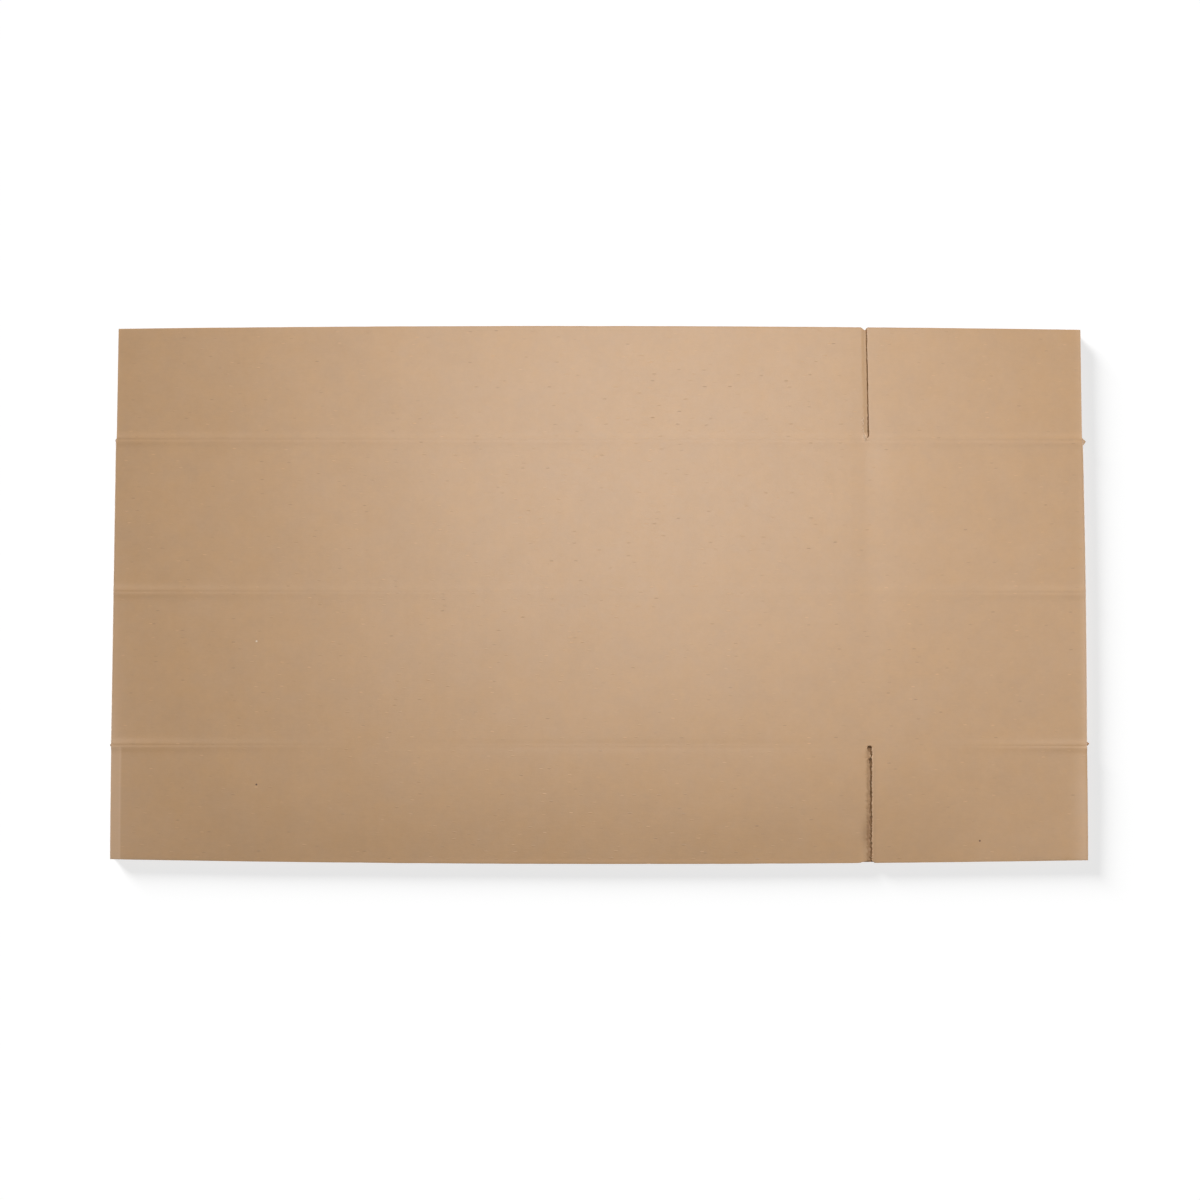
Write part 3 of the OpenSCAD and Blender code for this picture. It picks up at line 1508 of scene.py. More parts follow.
SLOT_EDGES: dict[tuple[End, Panel], SlotEdge] = {
    (End.TOP, Panel.LONG): SlotEdge(
        edge=(2.4 * MM, 1.6 * MM),
        crush=(0.9 * MM, -0.5 * MM),
        drop=0.33 * MM,
        closed=1.7 * MM,
        rounding=1.6 * MM,
        ragged=0.14 * MM,
        roll=0.22 * MM,
        lip_from=4.0 * MM,
        lip_step=0.45 * MM,
        lip_painted_shade=0.3,
        lip_rise=0.5,
        lip_ragged=0.25 * MM,
        slant=0.25 * MM,
        fibres=16,
        torn=(
            TornSpot((0.6 * MM, 0.3 * MM), (0.1 * MM, 2.6 * MM), 10, 1.5 * MM, 0.3 * MM),
            TornSpot((0.2 * MM, 0.2 * MM), (-0.9 * MM, 7.5 * MM), 10, 2.6 * MM, 0.22 * MM, turn=0.35),
            TornSpot((-0.3 * MM, 3 * MM), (-0.9 * MM, 15 * MM), 18, 1.4 * MM, 0.32 * MM),
        ),
        mouth_width=2.2 * MM,
        mouth_depth=2.4 * MM,
    ),
    (End.TOP, Panel.SHORT): SlotEdge(
        edge=(-0.3 * MM, -1.4 * MM),
        closed=1.7 * MM,
        rounding=1.6 * MM,
        ragged=0.1 * MM,
        roll=0.06 * MM,
        slant=0.45 * MM,
        mouth_width=0.3 * MM,
        mouth_depth=1.0 * MM,
    ),
    (End.BOTTOM, Panel.LONG): SlotEdge(
        edge=(2.15 * MM, 2.1 * MM),
        crush=(0.1 * MM, 0.05 * MM),
        drop=0.6 * MM,
        rounding=1.7 * MM,
        end_hole=2.2 * MM,
        ragged=0.34 * MM,
        roll=0.25 * MM,
        lip_from=2.6 * MM,
        lip_step=0.6 * MM,
        lip_painted_shade=1.8,
        lip_ragged=0.3 * MM,
        fibres=36,
        fibres_soiled=True,
        torn=(TornSpot((2.3 * MM, 6.4 * MM), (2.8 * MM, 8.4 * MM), 5, 1.7 * MM, 0.22 * MM, -0.35 * MM),),
        mouth_width=5.0 * MM,
        mouth_depth=1.7 * MM,
    ),
    (End.BOTTOM, Panel.SHORT): SlotEdge(
        edge=(-0.1 * MM, -0.4 * MM),
        rounding=1.7 * MM,
        ragged=0.24 * MM,
        roll=0.2 * MM,
        rim_painted_light=0.9,
        fibres=16,
        fibres_soiled=True,
        torn=(
            TornSpot((0.0, 5 * MM), (-0.1 * MM, 38 * MM), 15, 1.1 * MM, 0.22 * MM, 0.0),
            TornSpot((-0.1 * MM, 38 * MM), (-0.25 * MM, 71 * MM), 15, 1.1 * MM, 0.22 * MM, 0.0),
        ),
        mouth_width=1.5 * MM,
        mouth_depth=1.5 * MM,
    ),
}


@dataclass(frozen=True)
class FlapSet:
    """How the flaps of one end have set, in metres.

    Their cut edges have bowed out along their length, their sides stand back from the folds, those
    of the front layer have sagged onto the back layer, and those of the back layer end a little short.
    """

    bow_middle: float
    bow_ends: float
    sag: float
    inset: float
    back_short: float


FLAP_SETS: dict[End, FlapSet] = {
    End.TOP: FlapSet(0.7 * MM, -1.5 * MM, sag=0.1 * MM, inset=0.75 * MM, back_short=1.0 * MM),
    End.BOTTOM: FlapSet(2.0 * MM, -0.8 * MM, sag=1.4 * MM, inset=0.3 * MM, back_short=0.3 * MM),
}


class FlapGrid(NamedTuple):
    """Grid of a flap: places along the score and distances from it, in metres.

    The other distances are those of the uncut grid from the slot, the outer side and the cut edge.
    """

    x: np.ndarray
    out: np.ndarray
    from_slot: np.ndarray
    from_side: np.ndarray
    from_end: np.ndarray


@dataclass(frozen=True)
class Flap(BoardPiece):
    """One flap, with the strip of the sleeve that bends when it is folded."""

    FIBRE_LENGTH: ClassVar[float] = 1.5 * MM
    FIBRE_THICKNESS: ClassVar[float] = 0.1 * MM
    FIBRE_DEPTH: ClassVar[float] = 0.25 * MM
    FLUTE_MARGIN: ClassVar[float] = 4.5 * MM
    FLUTE_SETBACK: ClassVar[float] = 0.1 * MM
    FLUTE_DROP: ClassVar[float] = 0.11 * MM

    layer: Layer
    end: End
    panel: Panel

    @property
    def node(self) -> str:
        """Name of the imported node."""
        return f"{self.layer.value}_{self.end.value}_{self.panel.value}_flap"

    @property
    def sign(self) -> float:
        """1 at the top and -1 at the bottom."""
        return 1.0 if self.end is End.TOP else -1.0

    @property
    def form(self) -> FlapSet:
        """How the flaps of this end have set."""
        return FLAP_SETS[self.end]

    @property
    def relief(self) -> FaceRelief:
        """Relief of the flap's own layer."""
        return self.carton.front if self.layer is Layer.FRONT else self.carton.back

    @property
    def sag(self) -> float:
        """How far the cut edge has sagged, which it can't on the layer that lies on the floor."""
        return self.form.sag if self.layer is Layer.FRONT else 0.0

    @property
    def bow(self) -> tuple[float, float]:
        """How far the cut edge stands out at the carton's middle and at its sides."""
        short = self.form.back_short if self.layer is Layer.BACK else 0.0
        return self.form.bow_middle - short, self.form.bow_ends - short

    @property
    def outer_x(self) -> float:
        """Outer side edge, as on the front layer."""
        reach = self.sizes.half_width - self.form.inset
        return -reach if self.panel is Panel.LONG else reach

    @property
    def slot_x(self) -> float:
        """Edge at the slot, as on the front layer."""
        return self.sizes.slot_left if self.panel is Panel.LONG else self.sizes.slot_right

    @property
    def knife(self) -> SlotEdge:
        """State of the slot's edge, which is plain on the hidden layer."""
        return SlotEdge() if self.layer is Layer.BACK else SLOT_EDGES[(self.end, self.panel)]

    @property
    def ear(self) -> float:
        """Width beside the fold that stays with the sleeve."""
        return self.make.ear - self.form.inset

    @property
    def slot_ear(self) -> float:
        """Width beside the slot that stays with the sleeve, at the bend of the glued tab."""
        at_tab = self.layer is Layer.BACK and self.panel is Panel.LONG
        return self.make.seam_ear - (self.sizes.crease_x - self.sizes.slot_left) if at_tab else 0.0

    def build(self) -> list[Object]:
        """Builds the flap, the flutes in its cut edge and the torn paper at its slot.

        Returns:
            The pieces that were made.
        """
        pieces = [self._board(), self._flutes()]
        if self.knife.fibres:
            pieces.append(self._loose_fibres())
        pieces += [self._torn_paper(number, spot) for number, spot in enumerate(self.knife.torn, 1)]
        return pieces

    def _board(self) -> Object:
        """Builds the flap's board.

        Returns:
            The new piece.
        """
        cut = self._cut(self._grid())
        y, sunk = self._y(cut.out), self._sunk(cut.out)
        sheet = ThickSheet(
            f"{self.node}_board",
            self._placed(cut.x, y, self._height(cut) - sunk),
            self._placed(cut.x + self._lean(cut), y, self.sizes.stack - self.sizes.board - sunk),
            self._keep(),
            self._cut_depth(cut),
            self.make.liner,
            self._wear_and_shade(cut),
        )
        item = sheet.build(self.carton.finishes.materials())
        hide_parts(self.node)
        self._bend(item)
        return item

    def _bend(self, item: Object) -> None:
        """Bakes a piece's placement into its mesh.

        Args:
            item: Piece of this flap.
        """
        before = self.sign * (self.sizes.half_wall - self.make.tuck)
        after = self.sign * (self.sizes.half_wall + self.make.tuck)
        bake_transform(item)

    @cached_property
    def columns(self) -> np.ndarray:
        """Places along the score, as on the front layer.

        Returns:
            The places, from the outer side edge to the slot.
        """
        inward = 1.0 if self.slot_x > self.outer_x else -1.0
        width = abs(self.slot_x - self.outer_x)
        runs = [
            graded(0.0, self.ear, 0.25 * MM, 0.6 * MM, 0.9 * MM),
            graded(self.ear, width - self.slot_ear, 0.7 * MM, 0.25 * MM, 8 * MM),
        ]
        if self.slot_ear:
            runs.append(graded(width - self.slot_ear, width, 0.5 * MM, 0.3 * MM, 0.8 * MM))
        return self.outer_x + inward * chained(*runs)

    @cached_property
    def rows(self) -> np.ndarray:
        """Distances from the score, close together at the score and the cut edge.

        Returns:
            The distances in rising order, below 0 on the sleeve.
        """
        near_score = 7 * MM
        widest = 0.85 * MM if self.layer is Layer.FRONT else 1.5 * MM
        return chained(
            graded(-self.make.tuck, 0.0, 0.6 * MM, 0.4 * MM, 0.7 * MM),
            graded(0.0, near_score, 0.1 * MM, 0.85 * MM, 0.85 * MM),
            graded(near_score, self.sizes.flap_depth, widest, 0.25 * MM, widest),
        )

    def _grid(self) -> FlapGrid:
        """Spans the grid and measures how far its points lie from the edges.

        Returns:
            The grid before it is cut.
        """
        x, out = np.meshgrid(self.columns, self.rows)
        from_slot, from_side = np.abs(x - self.slot_x), np.abs(x - self.outer_x)
        return FlapGrid(x, out, from_slot, from_side, self.sizes.flap_depth - out)

    def _along(self, out: np.ndarray | float) -> np.ndarray | float:
        """Share of the way from the score to the cut edge."""
        return np.clip(out / self.sizes.flap_depth, 0.0, 1.0)

    def _y(self, out: np.ndarray | float) -> np.ndarray | float:
        """Place along the box height at a distance from the score."""
        return self.sign * (self.sizes.half_wall + out)

    def _sunk(self, out: np.ndarray | float) -> np.ndarray | float:
        """How far the flap has sagged at a distance from its score."""
        return self.sag * self._along(out) ** 2

    def _cut(self, grid: FlapGrid) -> FlapGrid:
        """Shapes the cut edges: the slot with its clipped mouth, rough paper and the bowed end.

        Args:
            grid: The grid before it is cut.

        Returns:
            The grid with its points moved.
        """
        make, knife = self.make, self.knife
        random = np.random.default_rng(list(self.node.encode()))
        rows, columns = grid.x.shape
        away = grid.out[:, 0]
        past_score = (away > ON_EDGE).astype(float)
        offset = past_score * self._slot_line(away, random)
        pull = np.clip(1 - grid.from_slot / make.slot_run, 0.0, 1.0)
        side_noise = past_score * random.normal(0.0, make.side_rough, rows)
        x = grid.x + offset[:, None] * pull
        x = x + side_noise[:, None] * np.exp(-grid.from_side / make.rough_run)
        end_noise = random.normal(0.0, make.end_rough, columns)[None, :]
        out = grid.out + end_noise * np.exp(-grid.from_end / make.rough_run)
        clipped = knife.mouth_depth * np.clip(1 - grid.from_slot / knife.mouth_width, 0.0, 1.0)
        near_end = np.clip(1 - grid.from_end / make.mouth_run, 0.0, 1.0)
        at_middle, at_sides = self.bow
        bow = at_middle + (at_sides - at_middle) * (grid.x / self.sizes.half_width) ** 2
        return grid._replace(x=x, out=out - clipped * near_end + bow * self._along(grid.out))

    def _slot_line(self, away: np.ndarray, random: np.random.Generator) -> np.ndarray:
        """Draws the slot's edge with its round end and its ragged paper.

        Args:
            away: Distances from the score.
            random: Source of the raggedness.

        Returns:
            Offset from the straight edge at each distance.
        """
        knife = self.knife
        at_score, at_mouth = knife.edge
        offset = at_score + (at_mouth - at_score) * self._along(away)
        if knife.end_hole:
            offset = offset * (0.25 + 0.75 * ramp(away, knife.end_hole, knife.end_hole + 2.5 * MM))
        if knife.rounding:
            to_middle = 0.99 * (self.sizes.crease_x - self.slot_x) - offset
            climb = np.clip(1 - (away - knife.closed) / knife.rounding, 0.0, 1.0)
            offset = offset + to_middle * (1 - np.sqrt(1 - climb**2))
        stray = knife.ragged * np.clip(random.normal(size=away.size), -1.8, 1.8)
        return offset + ramp(away, 2 * MM, 4 * MM) * stray

    def _lean(self, cut: FlapGrid) -> np.ndarray:
        """How far the knife's slant carries the inner face past the outer one.

        Args:
            cut: The cut grid.

        Returns:
            Offset along the score at each point.
        """
        run = self.make.slot_run
        lean = self.knife.slant * np.sign(self.slot_x - self.outer_x) * ramp(cut.out, 0.0, run)
        return lean * np.clip(1 - cut.from_slot / run, 0.0, 1.0)

    def _height(self, cut: FlapGrid) -> np.ndarray:
        """Height of the outer face: relief, rolled cut edges and the lip that the knife crushed.

        Args:
            cut: The cut grid.

        Returns:
            Height of each point, as on the front layer.
        """
        make, knife = self.make, self.knife
        z = self.sizes.stack + self.relief.height(cut.x, self._y(cut.out))
        if self.layer is Layer.BACK:
            z = np.minimum(z, self.sizes.stack)
        past_score = ramp(cut.out, 0.0, 0.8 * MM)
        z = z - make.end_roll * np.exp(-cut.from_end / make.roll_run)
        z = z - make.side_roll * past_score * np.exp(-cut.from_side / make.roll_run)
        z = z - knife.roll * past_score * np.exp(-cut.from_slot / make.slot_roll_run)
        return z - knife.drop * self._lip(cut)

    def _wear_and_shade(self, cut: FlapGrid) -> np.ndarray:
        """Gives the outer face its wear and its painted light and shade, with painted shade on the
        crushed lip and a painted highlight on the rim beside the slot.

        Args:
            cut: The cut grid.

        Returns:
            Share at each point, above 0 where it is paler.
        """
        # Painted highlight on the slot's rim, with painted shade just behind it
        pale = bump(cut.from_slot - 0.3 * MM, 0.4 * MM)
        dark = bump(cut.from_slot - 1.4 * MM, 0.7 * MM)
        rim = self.knife.rim_painted_light * (pale - 0.45 * dark) * ramp(cut.out, 0.5 * MM, 3 * MM)
        worn_and_shaded = self.relief.wear_and_shade(cut.x, self._y(cut.out))
        # Painted shade on the crushed lip beside the slot
        return worn_and_shaded - self.knife.lip_painted_shade * self._lip(cut) + rim

    def _lip(self, cut: FlapGrid) -> np.ndarray:
        """Finds where the knife crushed the board beside the slot of a long flap.

        Args:
            cut: The cut grid.

        Returns:
            How far each point is crushed, from 0 to 1.
        """
        knife = self.knife
        at_score, at_mouth = knife.crush
        start = self.slot_x + at_score + (at_mouth - at_score) * self._along(cut.out)
        random = np.random.default_rng(list(f"{self.node}_lip".encode()))
        start = start + knife.lip_ragged * np.clip(random.normal(size=(len(cut.x), 1)), -2.0, 2.0)
        past, full = cut.x - start, knife.lip_step * 2 / 3
        lip = ramp(past, -knife.lip_step / 3, full)
        lip = lip * (1 - knife.lip_rise * ramp(past, full, knife.lip_step * 2))
        return lip * ramp(cut.out, knife.lip_from, knife.lip_from + 2 * MM)

    def _placed(self, x: np.ndarray, y: np.ndarray, z: np.ndarray) -> np.ndarray:
        """Puts points of the front layer on the flap's own layer.

        Args:
            x: Places along the score.
            y: Places along the box height.
            z: Heights.

        Returns:
            The points, turned over where the flap is on the back layer.
        """
        if self.layer is Layer.BACK:
            return np.stack([-x, y, self.sizes.stack - z], axis=-1)
        return np.stack([x, y, z], axis=-1)

    def _keep(self) -> np.ndarray:
        """Leaves the corners at the fold and at the glued seam to the sleeve.

        Returns:
            Which cells of the grid are board.
        """
        x = (self.columns[1:] + self.columns[:-1]) / 2
        out = (self.rows[1:] + self.rows[:-1]) / 2
        in_ear = (np.abs(x - self.outer_x) < self.ear) | (np.abs(x - self.slot_x) < self.slot_ear)
        return (out[:, None] > 0.0) | ~in_ear[None, :]

    def _cut_depth(self, cut: FlapGrid) -> np.ndarray:
        """Sets the core back behind the liners, far at the open flutes and a little at the sides.

        Args:
            cut: The cut grid.

        Returns:
            Depth behind the liners at each grid point.
        """
        make = self.make
        from_corner = np.minimum(cut.from_slot, cut.from_side)
        from_score = self.sizes.flap_depth - cut.from_end
        along_side = np.minimum(cut.from_end, np.maximum(from_score, 0.0))
        side = np.minimum(make.side_cut, make.corner_cut + 0.3 * along_side)
        end = np.minimum(make.open_cut, make.corner_cut + 0.6 * from_corner)
        depth = np.where(cut.from_end < ON_EDGE, end, side)
        return np.where(from_score < ON_EDGE, 0.0, depth)

    def _loose_fibres(self) -> Object:
        """Builds the loose fibres that stick out across the slot.

        Returns:
            The new piece.
        """
        knife, finishes = self.knife, self.carton.finishes
        lower, upper = 5 * MM, self.sizes.flap_depth - 4 * MM
        level = -knife.drop - self.FIBRE_DEPTH
        fibres = TornFibres(
            f"{self.node}_loose_fibres",
            self._beside_slot(knife.edge[0], lower, level),
            self._beside_slot(knife.edge[1], upper, level - 0.9 * self.sag),
            count=knife.fibres,
            length=self.FIBRE_LENGTH,
            thickness=self.FIBRE_THICKNESS,
            seed=len(self.node),
        )
        return self._dressed(fibres, finishes.core if knife.fibres_soiled else finishes.torn)

    def _torn_paper(self, number: int, spot: TornSpot) -> Object:
        """Builds pale torn paper that lies beside the slot.

        Args:
            number: Number of the spot along this slot.
            spot: Where the paper is torn.

        Returns:
            The new piece.
        """
        fibres = TornFibres(
            f"{self.node}_torn_paper_{number}",
            self._beside_slot(*spot.start, spot.height - self._sunk(spot.start[1])),
            self._beside_slot(*spot.end, spot.height - self._sunk(spot.end[1])),
            count=spot.count,
            length=spot.length,
            thickness=spot.thickness,
            seed=6 + number,
            lowest_turn=(1.4, -0.1, -spot.turn),
            highest_turn=(1.74, 0.1, spot.turn),
        )
        return self._dressed(fibres, self.carton.finishes.torn)

    def _beside_slot(self, offset: float, out: float, over: float) -> Vector:
        """Gives a place by the slot: an offset from its edge, a distance from the score and a height."""
        return Vector((self.slot_x + offset, self._y(out), self.sizes.stack + over))

    def _dressed(self, fibres: "TornFibres", look: PaperFinish) -> Object:
        """Builds fibres and bakes their placement.

        Args:
            fibres: Fibres to build.
            look: Finish of the fibres.

        Returns:
            The new piece.
        """
        item = fibres.build(look.material())
        self._bend(item)
        return item

    def _flutes(self) -> Object:
        """Builds the wavy paper that shows in the cut edge.

        Returns:
            The new piece.
        """
        sizes, make = self.sizes, self.make
        at_middle, at_sides = self.bow
        x = (self.slot_x + self.outer_x) / 2
        y = self.sign * (sizes.half_depth - make.open_cut / 2 - self.FLUTE_SETBACK)
        z = sizes.stack - sizes.board / 2 - self.FLUTE_DROP - self.sag
        place = self._placed(np.array(x), np.array(y), np.array(z))
        row = FluteRow(
            f"{self.node}_flutes",
            length=abs(self.slot_x - self.outer_x) - 2 * self.FLUTE_MARGIN,
            pitch=make.flute_pitch,
            height=sizes.board - 2 * make.liner,
            depth=make.open_cut,
            paper=make.flute_paper,
            bow_middle=self.sign * at_middle,
            bow_fall=self.sign * (at_sides - at_middle) / sizes.half_width**2,
        )
        item = row.build(Vector(place), self.carton.finishes.core.material())
        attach(item, self.node)
        return item


class NodeShape:
    """A mesh that Geometry Nodes make once and then leave behind as plain faces."""

    KINDS = {int: "NodeSocketInt", float: "NodeSocketFloat", tuple: "NodeSocketVector"}

    def __init__(self, name: str, values: dict[str, Any]) -> None:
        """Starts a tree with named inputs.

        Args:
            name: Name of the tree and of the piece.
            values: Values of the inputs, by their names.
        """
        self.name = name
        self.tree = bpy.data.node_groups.new(f"{name}_tree", "GeometryNodeTree")
        self.draft = NodeDraft(self.tree)
        self.values: dict[str, Any] = {}
        for title, value in values.items():
            kind = self.KINDS[type(value)]
            socket = self.tree.interface.new_socket(title, in_out="INPUT", socket_type=kind)
            self.values[socket.identifier] = value

    def bake(self, shape: NodeSocket, material: Material) -> Object:
        """Closes the tree, runs it and keeps the faces.

        Args:
            shape: Socket with the finished shape.
            material: Material of all its faces.

        Returns:
            An object with a plain mesh.
        """
        self.tree.interface.new_socket("Geometry", in_out="OUTPUT", socket_type="NodeSocketGeometry")
        real = self.draft.add("GeometryNodeRealizeInstances", {"Geometry": shape}).outputs[0]
        dressed = self.draft.add("GeometryNodeSetMaterial", {"Geometry": real, "Material": material})
        self.draft.add("NodeGroupOutput", {"Geometry": dressed.outputs[0]})
        carrier_name = f"{self.name}_carrier"
        carrier = bpy.data.objects.new(carrier_name, bpy.data.meshes.new(carrier_name))
        bpy.context.scene.collection.objects.link(carrier)
        modifier = carrier.modifiers.new("shape", "NODES")
        modifier.node_group = self.tree
        for identifier, value in self.values.items():
            modifier[identifier] = value
        graph = bpy.context.evaluated_depsgraph_get()
        mesh = bpy.data.meshes.new_from_object(carrier.evaluated_get(graph))
        mesh.name = self.name
        bpy.data.objects.remove(carrier)
        item = bpy.data.objects.new(self.name, mesh)
        bpy.context.scene.collection.objects.link(item)
        return item


@dataclass
class FluteRow:
    """The wave of fluted paper that shows in a cut edge, in metres."""

    STEPS_PER_WAVE: ClassVar[float] = 8.0
    MERGE: ClassVar[float] = 0.001 * MM

    name: str
    length: float
    pitch: float
    height: float
    depth: float
    paper: float
    bow_middle: float
    bow_fall: float

    def build(self, place: Vector, material: Material) -> Object:
        """Builds the wave.

        Args:
            place: Middle of the wave.
            material: Finish of the paper.

        Returns:
            The new piece.
        """
        values = {
            "Length": self.length,
            "Pitch": self.pitch,
            "Height": self.height,
            "Depth": self.depth,
            "Paper": self.paper,
            "Bow Middle": self.bow_middle,
            "Bow Fall": self.bow_fall,
            "Place": tuple(place),
        }
        shape = NodeShape(self.name, values)
        draft = shape.draft
        given = draft.add("NodeGroupInput").outputs
        closed = self._strip(draft, given)
        moved = draft.add("GeometryNodeTransform", {"Geometry": closed, "Translation": given["Place"]})
        along = self._along(draft)
        squared = draft.math("MULTIPLY", along, along)
        bow = draft.math("MULTIPLY_ADD", squared, given["Bow Fall"], given["Bow Middle"])
        push = draft.add("ShaderNodeCombineXYZ", {1: bow}).outputs[0]
        bowed = draft.add("GeometryNodeSetPosition", {"Geometry": moved.outputs[0], "Offset": push})
        return shape.bake(bowed.outputs[0], material)

    def _strip(self, draft: NodeDraft, given: NodeOutputs) -> NodeSocket:
        """Waves a flat strip and gives it the paper's thickness.

        Args:
            draft: Tree being written.
            given: The tree's named inputs.

        Returns:
            Socket with the closed strip.
        """
        waves = draft.math("DIVIDE", given["Length"], given["Pitch"])
        count = draft.math("MULTIPLY", waves, self.STEPS_PER_WAVE)
        strip = draft.add(
            "GeometryNodeMeshGrid",
            {"Size X": given["Length"], "Size Y": given["Depth"], "Vertices X": count, "Vertices Y": 2},
        ).outputs["Mesh"]
        turn = draft.math("MULTIPLY", self._along(draft), 2 * math.pi)
        turn = draft.math("DIVIDE", turn, given["Pitch"])
        swing = draft.math("DIVIDE", draft.math("SUBTRACT", given["Height"], given["Paper"]), 2.0)
        rise = draft.math("MULTIPLY", draft.math("SINE", turn), swing)
        lift = draft.add("ShaderNodeCombineXYZ", {2: rise}).outputs[0]
        wave = draft.add("GeometryNodeSetPosition", {"Geometry": strip, "Offset": lift}).outputs[0]
        grown = draft.add("GeometryNodeExtrudeMesh", {"Mesh": wave, "Offset Scale": given["Paper"]})
        grown.inputs["Individual"].default_value = False
        under = draft.add("GeometryNodeFlipFaces", {"Mesh": wave})
        joined = draft.add("GeometryNodeJoinGeometry")
        draft.tree.links.new(grown.outputs["Mesh"], joined.inputs[0])
        draft.tree.links.new(under.outputs[0], joined.inputs[0])
        merged = {"Geometry": joined.outputs[0], "Distance": self.MERGE}
        return draft.add("GeometryNodeMergeByDistance", merged).outputs[0]

    @staticmethod
    def _along(draft: NodeDraft) -> NodeSocket:
        """Adds nodes that give each point's place along the scores."""
        place = draft.add("GeometryNodeInputPosition").outputs[0]
        return draft.add("ShaderNodeSeparateXYZ", {0: place}).outputs[0]


@dataclass
class TornFibres:
    """Loose paper fibres along a torn edge, in metres."""

    SIDES: ClassVar[int] = 5
    TIP_SHARE: ClassVar[float] = 0.2

    name: str
    start: Vector
    end: Vector
    count: int
    length: float
    thickness: float
    seed: int
    lowest_turn: tuple[float, float, float] = (-0.6, 1.0, -1.4)
    highest_turn: tuple[float, float, float] = (0.6, 2.1, 1.4)
    lowest_stray: tuple[float, float, float] = (-0.35 * MM, -0.9 * MM, -0.1 * MM)
    highest_stray: tuple[float, float, float] = (0.35 * MM, 0.9 * MM, 0.1 * MM)
    smallest: tuple[float, float, float] = (0.6, 0.6, 0.35)
    largest: tuple[float, float, float] = (1.1, 1.1, 1.2)

    def build(self, material: Material) -> Object:
        """Builds the fibres.

        Args:
            material: Finish of the fibres.

        Returns:
            The new piece.
        """
        values = {
            "Start": tuple(self.start),
            "End": tuple(self.end),
            "Count": self.count,
            "Seed": self.seed,
            "Length": self.length,
            "Thickness": self.thickness,
        }
        shape = NodeShape(self.name, values)
        draft = shape.draft
        given = draft.add("NodeGroupInput").outputs
        line = draft.add(
            "GeometryNodeMeshLine",
            {"Count": given["Count"], "Start Location": given["Start"], "Offset": given["End"]},
            mode="END_POINTS",
        )
        stray = self._random(draft, given["Seed"], self.lowest_stray, self.highest_stray)
        strewn = draft.add("GeometryNodeSetPosition", {"Geometry": line.outputs[0], "Offset": stray})
        fibre = draft.add(
            "GeometryNodeMeshCone",
            {
                "Vertices": self.SIDES,
                "Radius Top": draft.math("MULTIPLY", given["Thickness"], self.TIP_SHARE),
                "Radius Bottom": given["Thickness"],
                "Depth": given["Length"],
            },
        )
        next_seed = draft.math("ADD", given["Seed"], 1.0)
        turn = self._random(draft, next_seed, self.lowest_turn, self.highest_turn)
        rotation = draft.add("FunctionNodeEulerToRotation", {0: turn})
        last_seed = draft.math("ADD", given["Seed"], 2.0)
        spread = draft.add(
            "GeometryNodeInstanceOnPoints",
            {
                "Points": strewn.outputs[0],
                "Instance": fibre.outputs["Mesh"],
                "Rotation": rotation.outputs[0],
                "Scale": self._random(draft, last_seed, self.smallest, self.largest),
            },
        )
        return shape.bake(spread.outputs[0], material)

    @staticmethod
    def _random(
        draft: NodeDraft,
        seed: NodeSocket,
        low: tuple[float, float, float],
        high: tuple[float, float, float],
    ) -> NodeSocket:
        """Adds a random vector for each fibre.

        Args:
            draft: Tree being written.
            seed: Socket with the seed.
            low: Lowest values.
            high: Highest values.

        Returns:
            The vector's socket.
        """
        node = draft.add("FunctionNodeRandomValue", data_type="FLOAT_VECTOR")
        node.inputs[0].default_value = low
        node.inputs[1].default_value = high
        draft.tree.links.new(seed, node.inputs["Seed"])
        return node.outputs[0]


@dataclass(frozen=True)
class TornNub:
    """Bit of board that was torn at the end of a slot and stands out of a folded edge, in metres."""

    ROWS: ClassVar[int] = 13
    COLUMNS: ClassVar[int] = 7

    side: float
    end: float
    reach: float
    length: float
    out_of_score: float
    darker: bool
    thickness: float = 1.3 * MM
    level: float = 6.4 * MM
    root: float = 2.0 * MM
    droop: float = 0.5 * MM
    rough: float = 0.06 * MM
    ragged: float = 0.12
    point: float = 0.8

    def build(self, carton: Carton, name: str) -> Object:
        """Builds the nub on its folded edge.

        Args:
            carton: What every piece shares.
            name: Name of the piece.

        Returns:
            The new piece.
        """
        random = np.random.default_rng(list(name.encode()))
        across = np.linspace(0.0, 1.0, self.COLUMNS)[None, :]
        along = np.linspace(-1.0, 1.0, self.ROWS)[:, None]
        reach = self.reach * (1 - np.abs(along)) ** self.point
        reach = np.clip(reach + random.normal(0.0, self.ragged * self.reach, along.shape), 0.0, None)
        edge = carton.sizes.half_width + carton.make.fold_bulge
        x = self.side * (edge - self.root + across * (self.root + reach))
        y = self.end * (carton.sizes.half_wall + (self.out_of_score + along * self.length / 2))
        y = np.broadcast_to(y, x.shape)
        top = self.level - self.droop * across**2 + random.normal(0.0, self.rough, x.shape)
        bottom = top - self.thickness * (1 - 0.55 * across - 0.2 * np.abs(along))
        outer, inner = np.stack([x, y, top], axis=-1), np.stack([x, y, bottom], axis=-1)
        keep = np.ones((self.ROWS - 1, self.COLUMNS - 1), bool)
        sheet = ThickSheet(name, outer, inner, keep, np.zeros(x.shape), carton.make.liner)
        look = carton.finishes.core if self.darker else carton.finishes.rim
        item = sheet.build([look.material()] * len(Face))
        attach(item, Sleeve.NODE)
        return item


